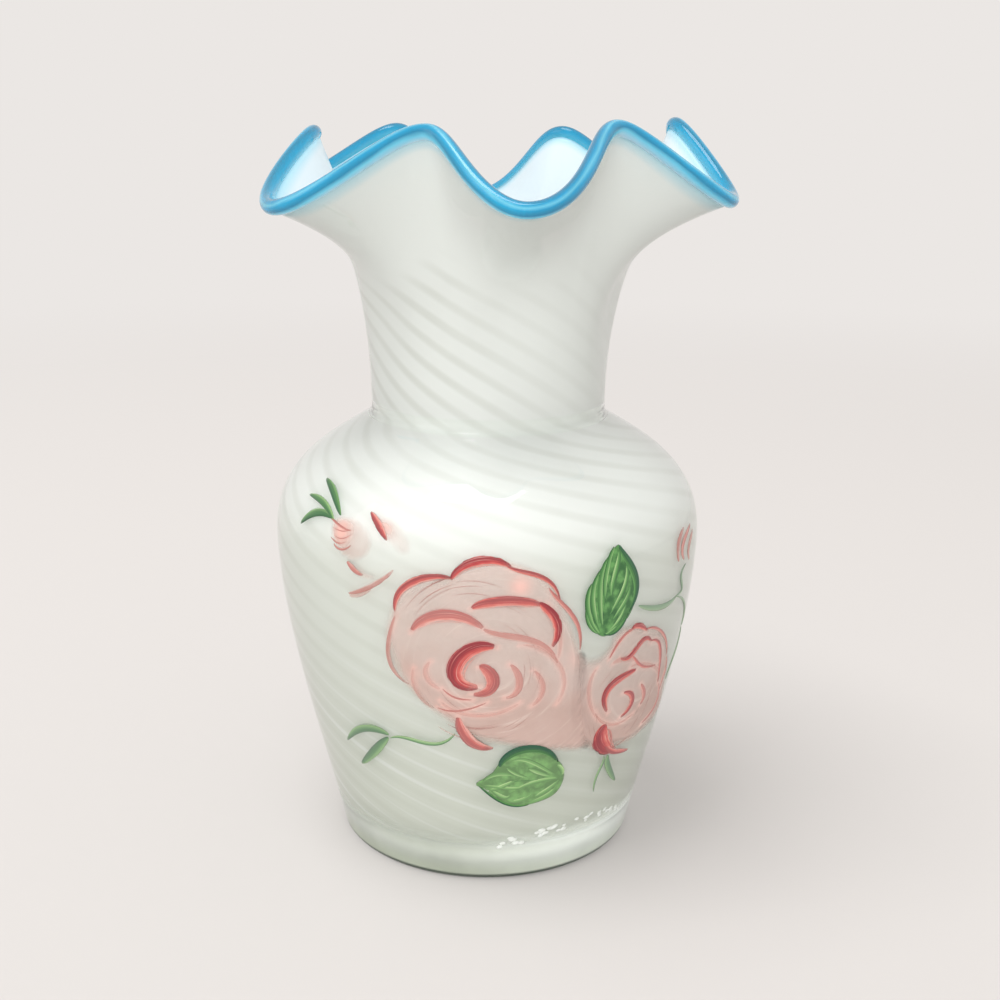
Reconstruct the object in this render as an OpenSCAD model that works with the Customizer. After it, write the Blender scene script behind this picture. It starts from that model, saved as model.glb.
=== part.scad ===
// Ruffled glass vase: clear glass cased over spiral-ribbed opal glass, with a blue glass
// thread round the crimped rim and a spray of roses laid on the front in raised enamel.
// Millimetres, Z up, origin at the centre of the foot. The front faces -Y, and a turn is
// an angle about Z from the front towards +X.

/* [Foot] */
// Radius of the foot above its rounded edge
foot_r = 40.8; // [36:0.2:46]
// Radius of the round on the foot's lower edge
foot_round = 2; // [1:0.1:3]
// Lean of the wall from the vertical where it leaves the foot
foot_slope = 13; // [8:0.5:18]
// How far the wall keeps that lean
foot_run = 26.7; // [18:0.1:34]
// Thickness of the clear glass under the opal floor
base_t = 9.5; // [7:0.1:13]
// Radius of the shallow hollow under the foot
hollow_r = 30; // [22:0.5:33]
// Depth of the shallow hollow under the foot
hollow_depth = 1.6; // [0.8:0.1:2.4]
// Round between the inside floor and the wall
floor_round = 7; // [4:0.5:10]

/* [Body] */
// Radius of the belly
belly_r = 56.9; // [50:0.1:66]
// Height of the belly above the foot's round
belly_rise = 84; // [66:0.5:102]
// How far the wall stays near the belly's radius below the belly
belly_hold = 24; // [16:0.5:32]
// How far the wall stays near the belly's radius above the belly
shoulder_hold = 19; // [12:0.5:24]
// Rise from the belly to the crease under the neck
shoulder_rise = 31.2; // [25:0.2:38]
// Slope of the shoulder at the crease, from the horizontal
shoulder_slope = 34; // [26:0.5:42]
// How far the shoulder keeps that slope
shoulder_run = 12; // [8:0.5:15]

/* [Neck and ruffle] */
// Radius of the neck at the crease
crease_r = 31; // [26:0.1:36]
// Rise from the crease to the lip's crests
neck_rise = 72; // [60:0.5:86]
// How far the neck runs straight up from the crease
neck_run = 31; // [22:0.5:38]
// Radius of the lip at a crest
crest_r = 46.3; // [40:0.1:52]
// Radius of the lip at a dip
dip_r = 63; // [55:0.1:72]
// Height from a dip of the lip to a crest
ruffle_drop = 17.8; // [12:0.1:22]
// Slope of the collar under a crest, from the horizontal
crest_slope = 70; // [60:1:80]
// Slope of the collar under a dip, from the horizontal
dip_slope = 21; // [14:1:32]
// How far the collar keeps its slope under a crest
crest_run = 19; // [12:0.5:24]
// How far the collar keeps its slope under a dip
dip_run = 34; // [26:0.5:40]
// Radius of the glass thread on the rim
thread_r = 1.9; // [1.5:0.1:2.4]

/* [Glass] */
// Thickness of the clear outer glass
casing_t = 1.5; // [1.2:0.1:2]
// Thickness of the opal inner glass between its ribs
lining_t = 1.5; // [1.2:0.1:2]
// Thickness of each of the two glasses at the rim
rim_t = 0.9; // [0.7:0.05:1.2]
// Height of the spiral ribs inside the opal glass
rib_h = 0.6; // [0.3:0.05:0.9]
// Turn of a rib on its way down from the collar to the floor, in degrees
rib_turn = 490; // [360:10:560]

/* [Enamel] */
// Thickness of a raised brush stroke
stroke_t = 0.35; // [0.2:0.05:0.6]
// Thickness of the thin wash of colour under a rose
wash_t = 0.15; // [0.1:0.05:0.3]
// Width of a full brush stroke
brush_w = 2.2; // [1.6:0.1:3]
// Width of the large rose
rose_w = 50; // [42:0.5:54]
// Height of the large rose
rose_h = 54; // [46:0.5:58]
// Width of the small rose
small_rose_w = 34; // [28:0.5:37]
// Height of the small rose
small_rose_h = 40; // [34:0.5:43]
// Length of the upper leaf
upper_leaf_l = 23.4; // [19:0.2:26]
// Width of the upper leaf
upper_leaf_w = 15; // [12:0.2:16]
// Length of the lower leaf
lower_leaf_l = 23.6; // [19:0.2:27]
// Width of the lower leaf
lower_leaf_w = 15; // [12:0.2:16.5]
// Size of a rosebud
bud_size = 10; // [8:0.2:11.5]
// Length of a sprig or a stem
sprig_l = 30; // [25:0.5:33]

/* [Hidden] */

// Counts of columns round the glass, rings up it and points along a curve
columns = 72;
wall_steps = 18;
collar_steps = 9;
rib_wall_steps = 24;
rib_neck_steps = 9;
rib_free_steps = 5;
columns_per_rib = 4;
corner_steps = 4;
thread_steps = 8;
brush_steps = 8;
outline_steps = 7;

// Heights
belly_z = foot_round + belly_rise;
crease_z = belly_z + shoulder_rise;
crest_z = crease_z + neck_rise;

// Ledge that the shoulder leaves round the neck, and how far the neck's root goes into it
ledge = casing_t / 5;
root_lap = ledge / 2;

// The lip's dips and crests in turn, as made by hand: dips at even places, crests at odd.
// Turns are in degrees; reaches are shares of dip_r or crest_r; drops of ruffle_drop.
lip_turns = [8, 41, 72, 100, 128, 155, 185, 214, 243, 268, 305, 342];
lip_reach_shares = [0.98, 0.97, 0.98, 1.05, 1, 1.03, 1, 1.03, 1.05, 0.97, 0.96, 0.97];
lip_drop_shares = [0.98, 0, 0.92, -0.1, 1.01, 0, 1.03, -0.02, 0.9, 0.06, 1.03, 0.08];
lip_places = len(lip_turns);

// Half of the small turn that gives a direction by difference, and the like in shares
nudge = 0.5;
nudge_share = 0.01;

// The ribs end at this share of the way up the collar, and fade out over the second share
rib_top_share = 0.5;
rib_fade_share = 0.15;

// Handle of a corner's curve that comes close to an arc
arc_handle_share = 0.55;

// General functions

function unit(v) = v / norm(v);
function mix(a, b, q) = a + (b - a) * q;
function turned(angle, r, z) = [r * sin(angle), -r * cos(angle), z];
function backwards(list) = [for (i = [len(list) - 1 : -1 : 0]) list[i]];
function curve_at(c, t) =
    pow(1 - t, 3) * c[0] + 3 * t * pow(1 - t, 2) * c[1] + 3 * t * t * (1 - t) * c[2] + pow(t, 3) * c[3];
function curve_run(c, t) =
    pow(1 - t, 2) * (c[1] - c[0]) + 2 * t * (1 - t) * (c[2] - c[1]) + t * t * (c[3] - c[2]);

// Body profile, as radius and height: foot to belly for v from 0 to 1, belly to crease to 2

low_curve = [[foot_r, foot_round],
    [foot_r, foot_round] + foot_run * [sin(foot_slope), cos(foot_slope)],
    [belly_r, belly_z - belly_hold], [belly_r, belly_z]];
shoulder_curve = [[belly_r, belly_z], [belly_r, belly_z + shoulder_hold],
    [crease_r + ledge, crease_z] + shoulder_run * [cos(shoulder_slope), -sin(shoulder_slope)],
    [crease_r + ledge, crease_z]];
function wall_curve(v) = v < 1 ? low_curve : shoulder_curve;
function wall_share(v) = v < 1 ? v : v - 1;
function wall_normal(v) =
    let (run = unit(curve_run(wall_curve(v), wall_share(v)))) [run[1], -run[0]];

// A point of the wall, set in from the outside by depth
function wall_at(v, depth) = curve_at(wall_curve(v), wall_share(v)) - depth * wall_normal(v);

// The wall's points up the outside, or up a hollow from its floor and the corner there
outer_line = [for (k = [0 : wall_steps]) wall_at(2 * k / wall_steps, 0)];
function hollow_wall(depth, floor_z, steps) =
    [for (k = [0 : steps - 1]) let (p = wall_at(2 * k / steps, depth))
        if (p[1] > floor_z + floor_round) p];
function hollow_corner(start, lean, floor_z) =
    let (drop = start[1] - floor_z, foot = [start[0] - drop, floor_z])
    [for (k = [0 : corner_steps - 1]) curve_at([foot, foot + [arc_handle_share * drop, 0],
        start - arc_handle_share * drop * lean, start], k / corner_steps)];
function hollow_line(depth, floor_z, steps, neck_r) =
    let (wall = hollow_wall(depth, floor_z, steps))
    concat(hollow_corner(wall[0], unit(wall[1] - wall[0]), floor_z), wall, [[neck_r, crease_z]]);

cavity_line = hollow_line(casing_t, base_t, wall_steps, crease_r - casing_t - ledge);
vessel_line = hollow_line(casing_t + lining_t, base_t + lining_t, rib_wall_steps,
    crease_r - casing_t - lining_t);

// Lip: the middle of the glass thread at a turn, with its run along the rim, the collar's
// lean there, and the rise and outward side square to the run

function lip_turn(a) = let (b = (a % 360 + 360) % 360) b < lip_turns[0] ? b + 360 : b;
function lip_place(b) = max([for (k = [0 : lip_places - 1]) if (lip_turns[k] <= b) k]);
function lip_swing(b, k) =
    let (end = k + 1 < lip_places ? lip_turns[k + 1] : lip_turns[0] + 360)
    (1 - cos(180 * (b - lip_turns[k]) / (end - lip_turns[k]))) / 2;
function lip_reach(k) = (k % 2 == 0 ? dip_r : crest_r) * lip_reach_shares[k % lip_places];
function lip_height(k) = crest_z - ruffle_drop * lip_drop_shares[k % lip_places];
function lip_middle(a) =
    let (b = lip_turn(a), k = lip_place(b), q = lip_swing(b, k))
    turned(a, mix(lip_reach(k), lip_reach(k + 1), q), mix(lip_height(k), lip_height(k + 1), q));
function lip_crest_share(a) =
    let (b = lip_turn(a), k = lip_place(b), q = lip_swing(b, k)) k % 2 == 0 ? q : 1 - q;
function lip_slope(a) = mix(dip_slope, crest_slope, lip_crest_share(a));
function lip_flare(a) = mix(dip_run, crest_run, lip_crest_share(a));
function lip_lean(a) = let (slope = lip_slope(a)) turned(a, cos(slope), sin(slope));
function lip_run(a) = unit(lip_middle(a + nudge) - lip_middle(a - nudge));
function lip_rise(a) = let (lean = lip_lean(a), run = lip_run(a)) unit(lean - (lean * run) * run);
function lip_side(a) = cross(lip_run(a), lip_rise(a));

// The collar's rim is cut square to its slope, and the thread has a flat that sits on it
seat_depth = sqrt(thread_r * thread_r - rim_t * rim_t);
seat_angle = 180 - asin(rim_t / thread_r);
function rim_at(a, offset) = lip_middle(a) - seat_depth * lip_rise(a) + offset * lip_side(a);

// Collar: outer surface from the crease, s = 0, to the rim, s = 1
function collar_outer(a, s) =
    let (root = turned(a, crease_r, crease_z), rim = rim_at(a, rim_t))
    curve_at([root, root + [0, 0, neck_run], rim - lip_flare(a) * lip_lean(a), rim], s);
function collar_normal(a, s) =
    s == 0 ? turned(a, 1, 0) : s == 1 ? lip_side(a) :
    unit(cross(collar_outer(a + nudge, s) - collar_outer(a - nudge, s),
        collar_outer(a, s + nudge_share) - collar_outer(a, s - nudge_share)));
function collar_at(a, s, body_depth, rim_depth) =
    collar_outer(a, s) - mix(body_depth, rim_depth, s) * collar_normal(a, s);

// Rings of points round the glass

function column_turn(i) = 360 * i / columns;
function ring(r, z) = [for (i = [0 : columns - 1]) turned(column_turn(i), r, z)];
function collar_ring(s, body_depth, rim_depth) =
    [for (i = [0 : columns - 1]) collar_at(column_turn(i), s, body_depth, rim_depth)];

// Ribs: a column's turn lags the rim's as it goes down, and each fourth column stands proud.
// In the neck the lag goes with s, up to the ribs' end, and below the crease with the run
// of the wall, so that a rib keeps an even slope round the shoulder.
neck_turn_share = 0.225;
function run_to(line, k) = k == 0 ? 0 : run_to(line, k - 1) + norm(line[k] - line[k - 1]);
wall_run = run_to(vessel_line, len(vessel_line) - 1);
function wall_lag(k) = rib_turn * mix(1, neck_turn_share, run_to(vessel_line, k) / wall_run);
function neck_lag(s) = rib_turn * neck_turn_share * max(0, 1 - s / rib_top_share);
function rib_rise(i, s) =
    i % columns_per_rib == 0 ? rib_h * max(0, min(1, (rib_top_share - s) / rib_fade_share)) : 0;
function ribbed_ring(k) =
    let (p = vessel_line[k], lag = wall_lag(k))
    [for (i = [0 : columns - 1]) turned(column_turn(i) + lag, p[0] - rib_rise(i, 0), p[1])];
function ribbed_collar_ring(s) =
    let (lag = neck_lag(s))
    [for (i = [0 : columns - 1]) collar_at(column_turn(i) + lag, s,
        casing_t + lining_t + rib_rise(i, s), 2 * rim_t + rib_rise(i, s))];

// Skin over rings of points, each joined to the next, the last closed on the first or both
// ends capped
module skin(rings, closed) {
    cols = len(rings[0]);
    count = len(rings);
    last = closed ? count - 1 : count - 2;
    sides = [for (k = [0 : last], i = [0 : cols - 1])
        let (j = (i + 1) % cols, a = k * cols, b = ((k + 1) % count) * cols)
        each [[a + i, b + i, b + j], [a + i, b + j, a + j]]];
    caps = closed ? [] : [[for (i = [0 : cols - 1]) i],
        [for (i = [cols - 1 : -1 : 0]) (count - 1) * cols + i]];
    polyhedron(points = [for (r = rings) each r], faces = concat(sides, caps), convexity = 8);
}

// Glass

module clear_casing() {
    dome = [for (k = [0 : corner_steps]) let (t = max(0, k - 1) / (corner_steps - 1))
        [hollow_r * k / corner_steps, hollow_depth * (1 - t * t)]];
    foot_corner = [foot_r - foot_round, foot_round];
    foot_arc = [for (k = [0 : corner_steps - 1]) let (t = 90 * k / corner_steps)
        foot_corner + foot_round * [sin(t), -cos(t)]];
    root_r = [crease_r, crease_r - casing_t];
    collar_rings = concat(
        [ring(root_r[0], crease_z - root_lap)],
        [for (k = [0 : collar_steps]) collar_ring(k / collar_steps, 0, 0)],
        [for (k = [collar_steps : -1 : 0]) collar_ring(k / collar_steps, casing_t, rim_t)],
        [ring(root_r[1], crease_z - root_lap)]);
    color([0.88, 0.93, 0.92, 0.4])
        union() {
            rotate_extrude()
                polygon(concat(dome, foot_arc, outer_line, backwards(cavity_line), [[0, base_t]]));
            skin(collar_rings, true);
        }
}

module opal_lining() {
    outside = [for (p = cavity_line) ring(p[0], p[1])];
    outside_collar = [for (k = [1 : collar_steps]) collar_ring(k / collar_steps, casing_t, rim_t)];
    free_inside = [for (k = [rib_free_steps : -1 : 1]) mix(rib_top_share, 1, k / rib_free_steps)];
    neck_inside = [for (k = [rib_neck_steps : -1 : 1]) rib_top_share * k / rib_neck_steps];
    inside_collar = [for (s = concat(free_inside, neck_inside)) ribbed_collar_ring(s)];
    inside = [for (k = [len(vessel_line) - 1 : -1 : 0]) ribbed_ring(k)];
    color([0.95, 0.97, 0.96])
        skin(concat(outside, outside_collar, inside_collar, inside), false);
}

module blue_lip() {
    section = [for (k = [0 : thread_steps]) seat_angle * (1 - 2 * k / thread_steps)];
    color([0.25, 0.65, 0.88])
        skin([for (t = section) [for (i = [0 : columns - 1])
            let (a = column_turn(i))
            lip_middle(a) + thread_r * (cos(t) * lip_rise(a) + sin(t) * lip_side(a))]], true);
}

// Enamel: flat strokes carried outwards onto the wall, and cut to a coat of even thickness

module coat(depth) {
    places = [for (k = [1 : wall_steps - 1]) 2 * k / wall_steps];
    rotate_extrude()
        polygon(concat([for (v = places) wall_at(v, 0)], [for (v = backwards(places)) wall_at(v, -depth)]));
}

// Children are drawn flat, x to the right of the turn's middle line and y up from the height
module laid_on(turn, height, depth) {
    intersection() {
        coat(depth);
        rotate([0, 0, turn])
            rotate([90, 0, 0])
                linear_extrude(height = belly_r + crease_r)
                    translate([0, height])
                        children();
    }
}

// A brush stroke along a curve given in shares of a size, swelling from a fine tip and back
tip_share = 0.12;
swell_share = 0.6;
function in_size(c, size) = [for (p = c) [p[0] * size[0], p[1] * size[1]]];
function brush_edge(c, w, side) =
    [for (i = [0 : brush_steps]) let (t = i / brush_steps, run = unit(curve_run(c, t)))
        curve_at(c, t) + side * w / 2 * max(tip_share, pow(sin(180 * t), swell_share)) * [-run[1], run[0]]];

// Each row of a table of strokes is a curve's four points, then the width as a share of brush_w
module strokes(table_shares, size) {
    for (row = table_shares) {
        c = in_size([row[0], row[1], row[2], row[3]], size);
        polygon(concat(brush_edge(c, row[4] * brush_w, 1), backwards(brush_edge(c, row[4] * brush_w, -1))));
    }
}

// A closed outline from curves that run on from each other, in shares of a size
module outline(curve_shares, size) {
    polygon([for (c = curve_shares, i = [0 : outline_steps - 1])
        curve_at(in_size(c, size), i / outline_steps)]);
}

// Large rose

rose_turn = 2;
rose_height_share = 0.558;
rose_place = rose_height_share * crease_z;
rose_size = [rose_w, rose_h];
rose_outline_shares = [
    [[-0.5, -0.02], [-0.47, 0.22], [-0.36, 0.42], [-0.19, 0.41]],
    [[-0.19, 0.41], [-0.12, 0.52], [0.08, 0.53], [0.21, 0.42]],
    [[0.21, 0.42], [0.3, 0.36], [0.36, 0.2], [0.41, 0.08]],
    [[0.41, 0.08], [0.46, -0.05], [0.49, -0.28], [0.45, -0.42]],
    [[0.45, -0.42], [0.3, -0.45], [0.05, -0.46], [-0.15, -0.4]],
    [[-0.15, -0.4], [-0.3, -0.34], [-0.5, -0.28], [-0.5, -0.02]]];
rose_petal_shares = [
    [[-0.5, -0.04], [-0.49, 0.14], [-0.44, 0.28], [-0.34, 0.37], 0.55],
    [[0.2, 0.42], [0.29, 0.38], [0.32, 0.24], [0.4, 0.1], 0.45],
    [[-0.1, 0.28], [-0.02, 0.35], [0.1, 0.35], [0.2, 0.33], 0.7],
    [[-0.38, 0.11], [-0.35, 0.27], [-0.2, 0.29], [-0.06, 0.22], 1],
    [[-0.05, 0.21], [0.06, 0.19], [0.16, 0.14], [0.26, 0.09], 0.5],
    [[0.08, 0.03], [0.15, -0.02], [0.15, -0.1], [0.07, -0.16], 0.8],
    [[0.2, 0.04], [0.3, -0.05], [0.24, -0.2], [0.12, -0.27], 0.6],
    [[-0.34, 0.02], [-0.38, -0.15], [-0.28, -0.27], [-0.12, -0.31], 0.6],
    [[-0.2, -0.18], [-0.1, -0.27], [0.08, -0.27], [0.17, -0.2], 0.5],
    [[0.31, 0], [0.42, -0.14], [0.34, -0.3], [0.2, -0.36], 0.5]];
rose_shading_shares = [
    [[-0.4, 0.31], [-0.34, 0.41], [-0.26, 0.43], [-0.17, 0.41], 0.9],
    [[-0.19, 0.4], [-0.12, 0.52], [0.08, 0.53], [0.17, 0.45], 0.9],
    [[0.15, 0.33], [0.28, 0.31], [0.33, 0.15], [0.28, 0.03], 1.1],
    [[0.02, 0.11], [-0.2, 0.17], [-0.28, -0.1], [-0.07, -0.115], 1.3],
    [[-0.08, 0], [0.03, 0.01], [0.03, -0.13], [-0.06, -0.15], 1],
    [[-0.18, -0.24], [-0.16, -0.33], [-0.1, -0.38], [0.01, -0.41], 1.2]];

module large_rose_wash() {
    color([0.93, 0.78, 0.74])
        laid_on(rose_turn, rose_place, wash_t)
            difference() {
                outline(rose_outline_shares, rose_size);
                strokes(rose_petal_shares, rose_size);
                strokes(rose_shading_shares, rose_size);
            }
}

module large_rose_petals() {
    color([0.89, 0.5, 0.46])
        laid_on(rose_turn, rose_place, stroke_t)
            difference() {
                strokes(rose_petal_shares, rose_size);
                strokes(rose_shading_shares, rose_size);
            }
}

module large_rose_shading() {
    color([0.72, 0.22, 0.25])
        laid_on(rose_turn, rose_place, stroke_t)
            strokes(rose_shading_shares, rose_size);
}

// Small rose, beside the large one whatever their widths, with the bud that hangs from it
// drawn on the same middle line

rose_edge_share = 0.46;
rose_gap_turn = 7.2;
function half_turn(width) = asin(min(1, rose_edge_share * width / belly_r));
small_rose_turn = rose_turn + half_turn(rose_w) + rose_gap_turn + half_turn(small_rose_w);
small_rose_height_share = 0.465;
small_rose_place = small_rose_height_share * crease_z;
small_rose_size = [small_rose_w, small_rose_h];
small_rose_outline_shares = [
    [[-0.43, 0.28], [-0.4, 0.46], [-0.2, 0.5], [0, 0.42]],
    [[0, 0.42], [0.2, 0.39], [0.36, 0.2], [0.44, -0.05]],
    [[0.44, -0.05], [0.49, -0.25], [0.4, -0.48], [0.15, -0.5]],
    [[0.15, -0.5], [0.06, -0.42], [-0.02, -0.3], [-0.14, -0.26]],
    [[-0.14, -0.26], [-0.26, -0.22], [-0.38, -0.3], [-0.43, -0.42]],
    [[-0.43, -0.42], [-0.46, -0.2], [-0.46, 0.1], [-0.43, 0.28]]];
small_rose_petal_shares = [
    [[-0.38, 0.2], [-0.36, 0.42], [-0.2, 0.45], [-0.02, 0.37], 0.5],
    [[-0.02, 0.37], [0.14, 0.36], [0.24, 0.24], [0.28, 0.1], 0.5],
    [[-0.27, 0.23], [-0.18, 0.31], [-0.02, 0.32], [0.07, 0.23], 0.7],
    [[0.06, 0.04], [0.13, -0.05], [0.08, -0.2], [-0.03, -0.25], 0.7],
    [[0.32, 0.06], [0.38, -0.05], [0.41, -0.14], [0.43, -0.24], 0.45],
    [[-0.12, 0.13], [-0.08, 0.18], [0, 0.18], [0.04, 0.14], 0.5]];
small_rose_shading_shares = [
    [[0.06, 0.24], [0.15, 0.14], [0.2, 0], [0.25, -0.17], 0.6],
    [[-0.1, 0.1], [-0.26, 0.13], [-0.42, 0], [-0.31, -0.16], 1.2],
    [[-0.21, -0.03], [-0.06, -0.08], [-0.06, -0.18], [-0.2, -0.21], 1]];

module small_rose_wash() {
    color([0.93, 0.78, 0.74])
        laid_on(small_rose_turn, small_rose_place, wash_t)
            difference() {
                outline(small_rose_outline_shares, small_rose_size);
                strokes(small_rose_petal_shares, small_rose_size);
                strokes(small_rose_shading_shares, small_rose_size);
            }
}

module small_rose_petals() {
    color([0.89, 0.5, 0.46])
        laid_on(small_rose_turn, small_rose_place, stroke_t)
            difference() {
                strokes(small_rose_petal_shares, small_rose_size);
                strokes(small_rose_shading_shares, small_rose_size);
            }
}

module small_rose_shading() {
    color([0.72, 0.22, 0.25])
        laid_on(small_rose_turn, small_rose_place, stroke_t)
            strokes(small_rose_shading_shares, small_rose_size);
}

// Lower bud and its sepals, set from the small rose's middle

lower_bud_offset_shares = [-0.27, -0.385];
bud_outline_shares = [
    [[-0.08, -0.5], [-0.5, -0.2], [-0.5, 0.35], [-0.05, 0.42]],
    [[-0.05, 0.42], [0.3, 0.4], [0.42, -0.05], [0.52, -0.34]],
    [[0.52, -0.34], [0.34, -0.32], [0.14, -0.42], [-0.08, -0.5]]];
sepal_shares = [
    [[0.02, -0.58], [-0.2, -0.8], [-0.1, -1.2], [-0.02, -1.55], 0.45],
    [[0.1, -0.56], [0.18, -0.85], [0.34, -1.05], [0.55, -1.3], 0.9]];

module at_lower_bud() {
    laid_on(small_rose_turn, small_rose_place, stroke_t)
        translate([lower_bud_offset_shares[0] * small_rose_w, lower_bud_offset_shares[1] * small_rose_h])
            children();
}

module lower_bud() {
    color([0.8, 0.32, 0.36])
        at_lower_bud()
            outline(bud_outline_shares, [bud_size, bud_size]);
}

module lower_bud_sepals() {
    color([0.35, 0.58, 0.33])
        at_lower_bud()
            strokes(sepal_shares, [bud_size, bud_size]);
}

// Leaves: an outline, with a middle vein and side veins cut from it and laid in darker green

upper_leaf_turn = 32.5;
upper_leaf_height_share = 0.704;
upper_leaf_size = [upper_leaf_w, upper_leaf_l];
upper_leaf_outline_shares = [
    [[0.08, 0.5], [-0.45, 0.25], [-0.8, -0.25], [-0.08, -0.5]],
    [[-0.08, -0.5], [0.45, -0.42], [0.72, 0.12], [0.08, 0.5]]];
upper_leaf_vein_shares = [
    [[0.07, 0.42], [0, 0.15], [-0.02, -0.15], [-0.07, -0.44], 0.35],
    [[0, 0.12], [-0.12, 0.14], [-0.22, 0.08], [-0.3, 0], 0.3],
    [[-0.02, -0.08], [-0.16, -0.08], [-0.26, -0.14], [-0.34, -0.22], 0.3],
    [[-0.03, -0.26], [-0.12, -0.26], [-0.18, -0.32], [-0.22, -0.38], 0.25],
    [[0.02, -0.02], [0.12, 0.02], [0.2, 0.02], [0.28, -0.04], 0.3],
    [[-0.01, -0.2], [0.1, -0.16], [0.18, -0.18], [0.24, -0.24], 0.3],
    [[0.12, 0.4], [0.4, 0.22], [0.54, -0.12], [0.3, -0.3], 1]];

// The lower leaf lies a small gap under the large rose's lower edge
lower_leaf_turn = 11;
rose_foot_share = 0.46;
leaf_half_share = 0.45;
leaf_gap_share = 0.08;
lower_leaf_place =
    rose_place - rose_foot_share * rose_h - (leaf_half_share + leaf_gap_share) * lower_leaf_w;
lower_leaf_size = [lower_leaf_l, lower_leaf_w];
lower_leaf_outline_shares = [
    [[-0.5, -0.08], [-0.3, 0.32], [0, 0.58], [0.3, 0.44]],
    [[0.3, 0.44], [0.52, 0.33], [0.58, -0.25], [0.34, -0.46]],
    [[0.34, -0.46], [0, -0.6], [-0.3, -0.45], [-0.5, -0.08]]];
lower_leaf_vein_shares = [
    [[-0.44, -0.08], [-0.2, -0.06], [0.1, 0], [0.42, -0.04], 0.35],
    [[-0.22, -0.05], [-0.14, 0.08], [-0.06, 0.18], [0.06, 0.26], 0.3],
    [[-0.02, -0.02], [0.04, 0.08], [0.12, 0.16], [0.22, 0.2], 0.3],
    [[0.16, 0], [0.2, 0.06], [0.26, 0.1], [0.34, 0.12], 0.25],
    [[-0.2, -0.07], [-0.12, -0.16], [-0.04, -0.24], [0.06, -0.3], 0.3],
    [[0, -0.04], [0.06, -0.12], [0.14, -0.2], [0.24, -0.24], 0.3],
    [[-0.28, 0.24], [-0.08, 0.46], [0.1, 0.46], [0.28, 0.4], 0.9]];

module leaf(outline_shares, vein_shares, size) {
    difference() {
        outline(outline_shares, size);
        strokes(vein_shares, size);
    }
}

module veins(outline_shares, vein_shares, size) {
    intersection() {
        outline(outline_shares, size);
        strokes(vein_shares, size);
    }
}

module upper_leaf() {
    color([0.3, 0.58, 0.33])
        laid_on(upper_leaf_turn, upper_leaf_height_share * crease_z, stroke_t)
            leaf(upper_leaf_outline_shares, upper_leaf_vein_shares, upper_leaf_size);
}

module upper_leaf_veins() {
    color([0.06, 0.36, 0.22])
        laid_on(upper_leaf_turn, upper_leaf_height_share * crease_z, stroke_t)
            veins(upper_leaf_outline_shares, upper_leaf_vein_shares, upper_leaf_size);
}

module lower_leaf() {
    color([0.3, 0.58, 0.33])
        laid_on(lower_leaf_turn, lower_leaf_place, stroke_t)
            leaf(lower_leaf_outline_shares, lower_leaf_vein_shares, lower_leaf_size);
}

module lower_leaf_veins() {
    color([0.06, 0.36, 0.22])
        laid_on(lower_leaf_turn, lower_leaf_place, stroke_t)
            veins(lower_leaf_outline_shares, lower_leaf_vein_shares, lower_leaf_size);
}

// Stem and bud at the right

upper_stem_turn = 53;
upper_stem_height_share = 0.64;
upper_stem_shares = [
    [[-0.47, 0.08], [-0.3, 0], [0.05, -0.05], [0.3, -0.06], 0.35],
    [[0.28, -0.06], [0.38, -0.04], [0.42, 0.08], [0.46, 0.2], 0.35]];

module upper_stem() {
    color([0.42, 0.55, 0.42])
        laid_on(upper_stem_turn, upper_stem_height_share * crease_z, stroke_t)
            strokes(upper_stem_shares, [sprig_l, sprig_l]);
}

right_bud_turn = 64;
right_bud_height_share = 0.75;
right_bud_shares = [
    [[-0.6, -0.3], [-0.62, 0], [-0.5, 0.3], [-0.38, 0.48], 0.8],
    [[-0.2, -0.42], [-0.22, 0], [0, 0.25], [0.18, 0.4], 0.9],
    [[0.2, -0.35], [0.3, -0.1], [0.44, 0.15], [0.52, 0.38], 0.8]];

module right_bud() {
    color([0.87, 0.47, 0.45])
        laid_on(right_bud_turn, right_bud_height_share * crease_z, stroke_t)
            strokes(right_bud_shares, [bud_size, bud_size]);
}

// Bud, leaves and loose petals at the upper left

left_bud_turn = -38.5;
left_bud_height_share = 0.802;
left_bud_shares = [
    [[-0.44, 0.1], [-0.42, 0.44], [-0.2, 0.5], [0.02, 0.44], 0.8],
    [[-0.4, 0], [-0.3, -0.36], [-0.04, -0.5], [0.22, -0.46], 0.8],
    [[0.12, 0.36], [0.4, 0.24], [0.44, -0.08], [0.32, -0.36], 0.9],
    [[-0.16, 0.14], [0.02, 0.22], [0.14, 0.02], [0.02, -0.14], 0.8]];
left_bud_leaf_shares = [
    [[-0.28, 0.5], [-0.7, 0.46], [-1.2, 0.42], [-1.6, 0.02], 0.9],
    [[-0.3, 0.6], [-0.7, 0.8], [-1.3, 1], [-1.7, 0.66], 0.9],
    [[-0.18, 0.6], [-0.5, 0.8], [-0.9, 1.3], [-1.3, 1.36], 0.9]];

module left_bud() {
    color([0.9, 0.56, 0.5])
        laid_on(left_bud_turn, left_bud_height_share * crease_z, stroke_t)
            strokes(left_bud_shares, [bud_size, bud_size]);
}

module left_bud_leaves() {
    color([0.3, 0.58, 0.33])
        laid_on(left_bud_turn, left_bud_height_share * crease_z, stroke_t)
            strokes(left_bud_leaf_shares, [bud_size, bud_size]);
}

loose_petal_turn = -28;
loose_petal_height_share = 0.78;
loose_petal_shares = [
    [[-0.29, 0.87], [-0.2, 0.6], [-0.02, 0.42], [0.29, 0.33], 1.3],
    [[-0.77, -0.34], [-0.62, -0.44], [-0.46, -0.56], [-0.27, -0.64], 1],
    [[-0.77, -1], [-0.3, -0.82], [0.2, -0.62], [0.56, -0.12], 0.55]];

module loose_petals() {
    color([0.9, 0.52, 0.47])
        laid_on(loose_petal_turn, loose_petal_height_share * crease_z, stroke_t)
            strokes(loose_petal_shares, [bud_size, bud_size]);
}

// Sprig at the lower left

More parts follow.
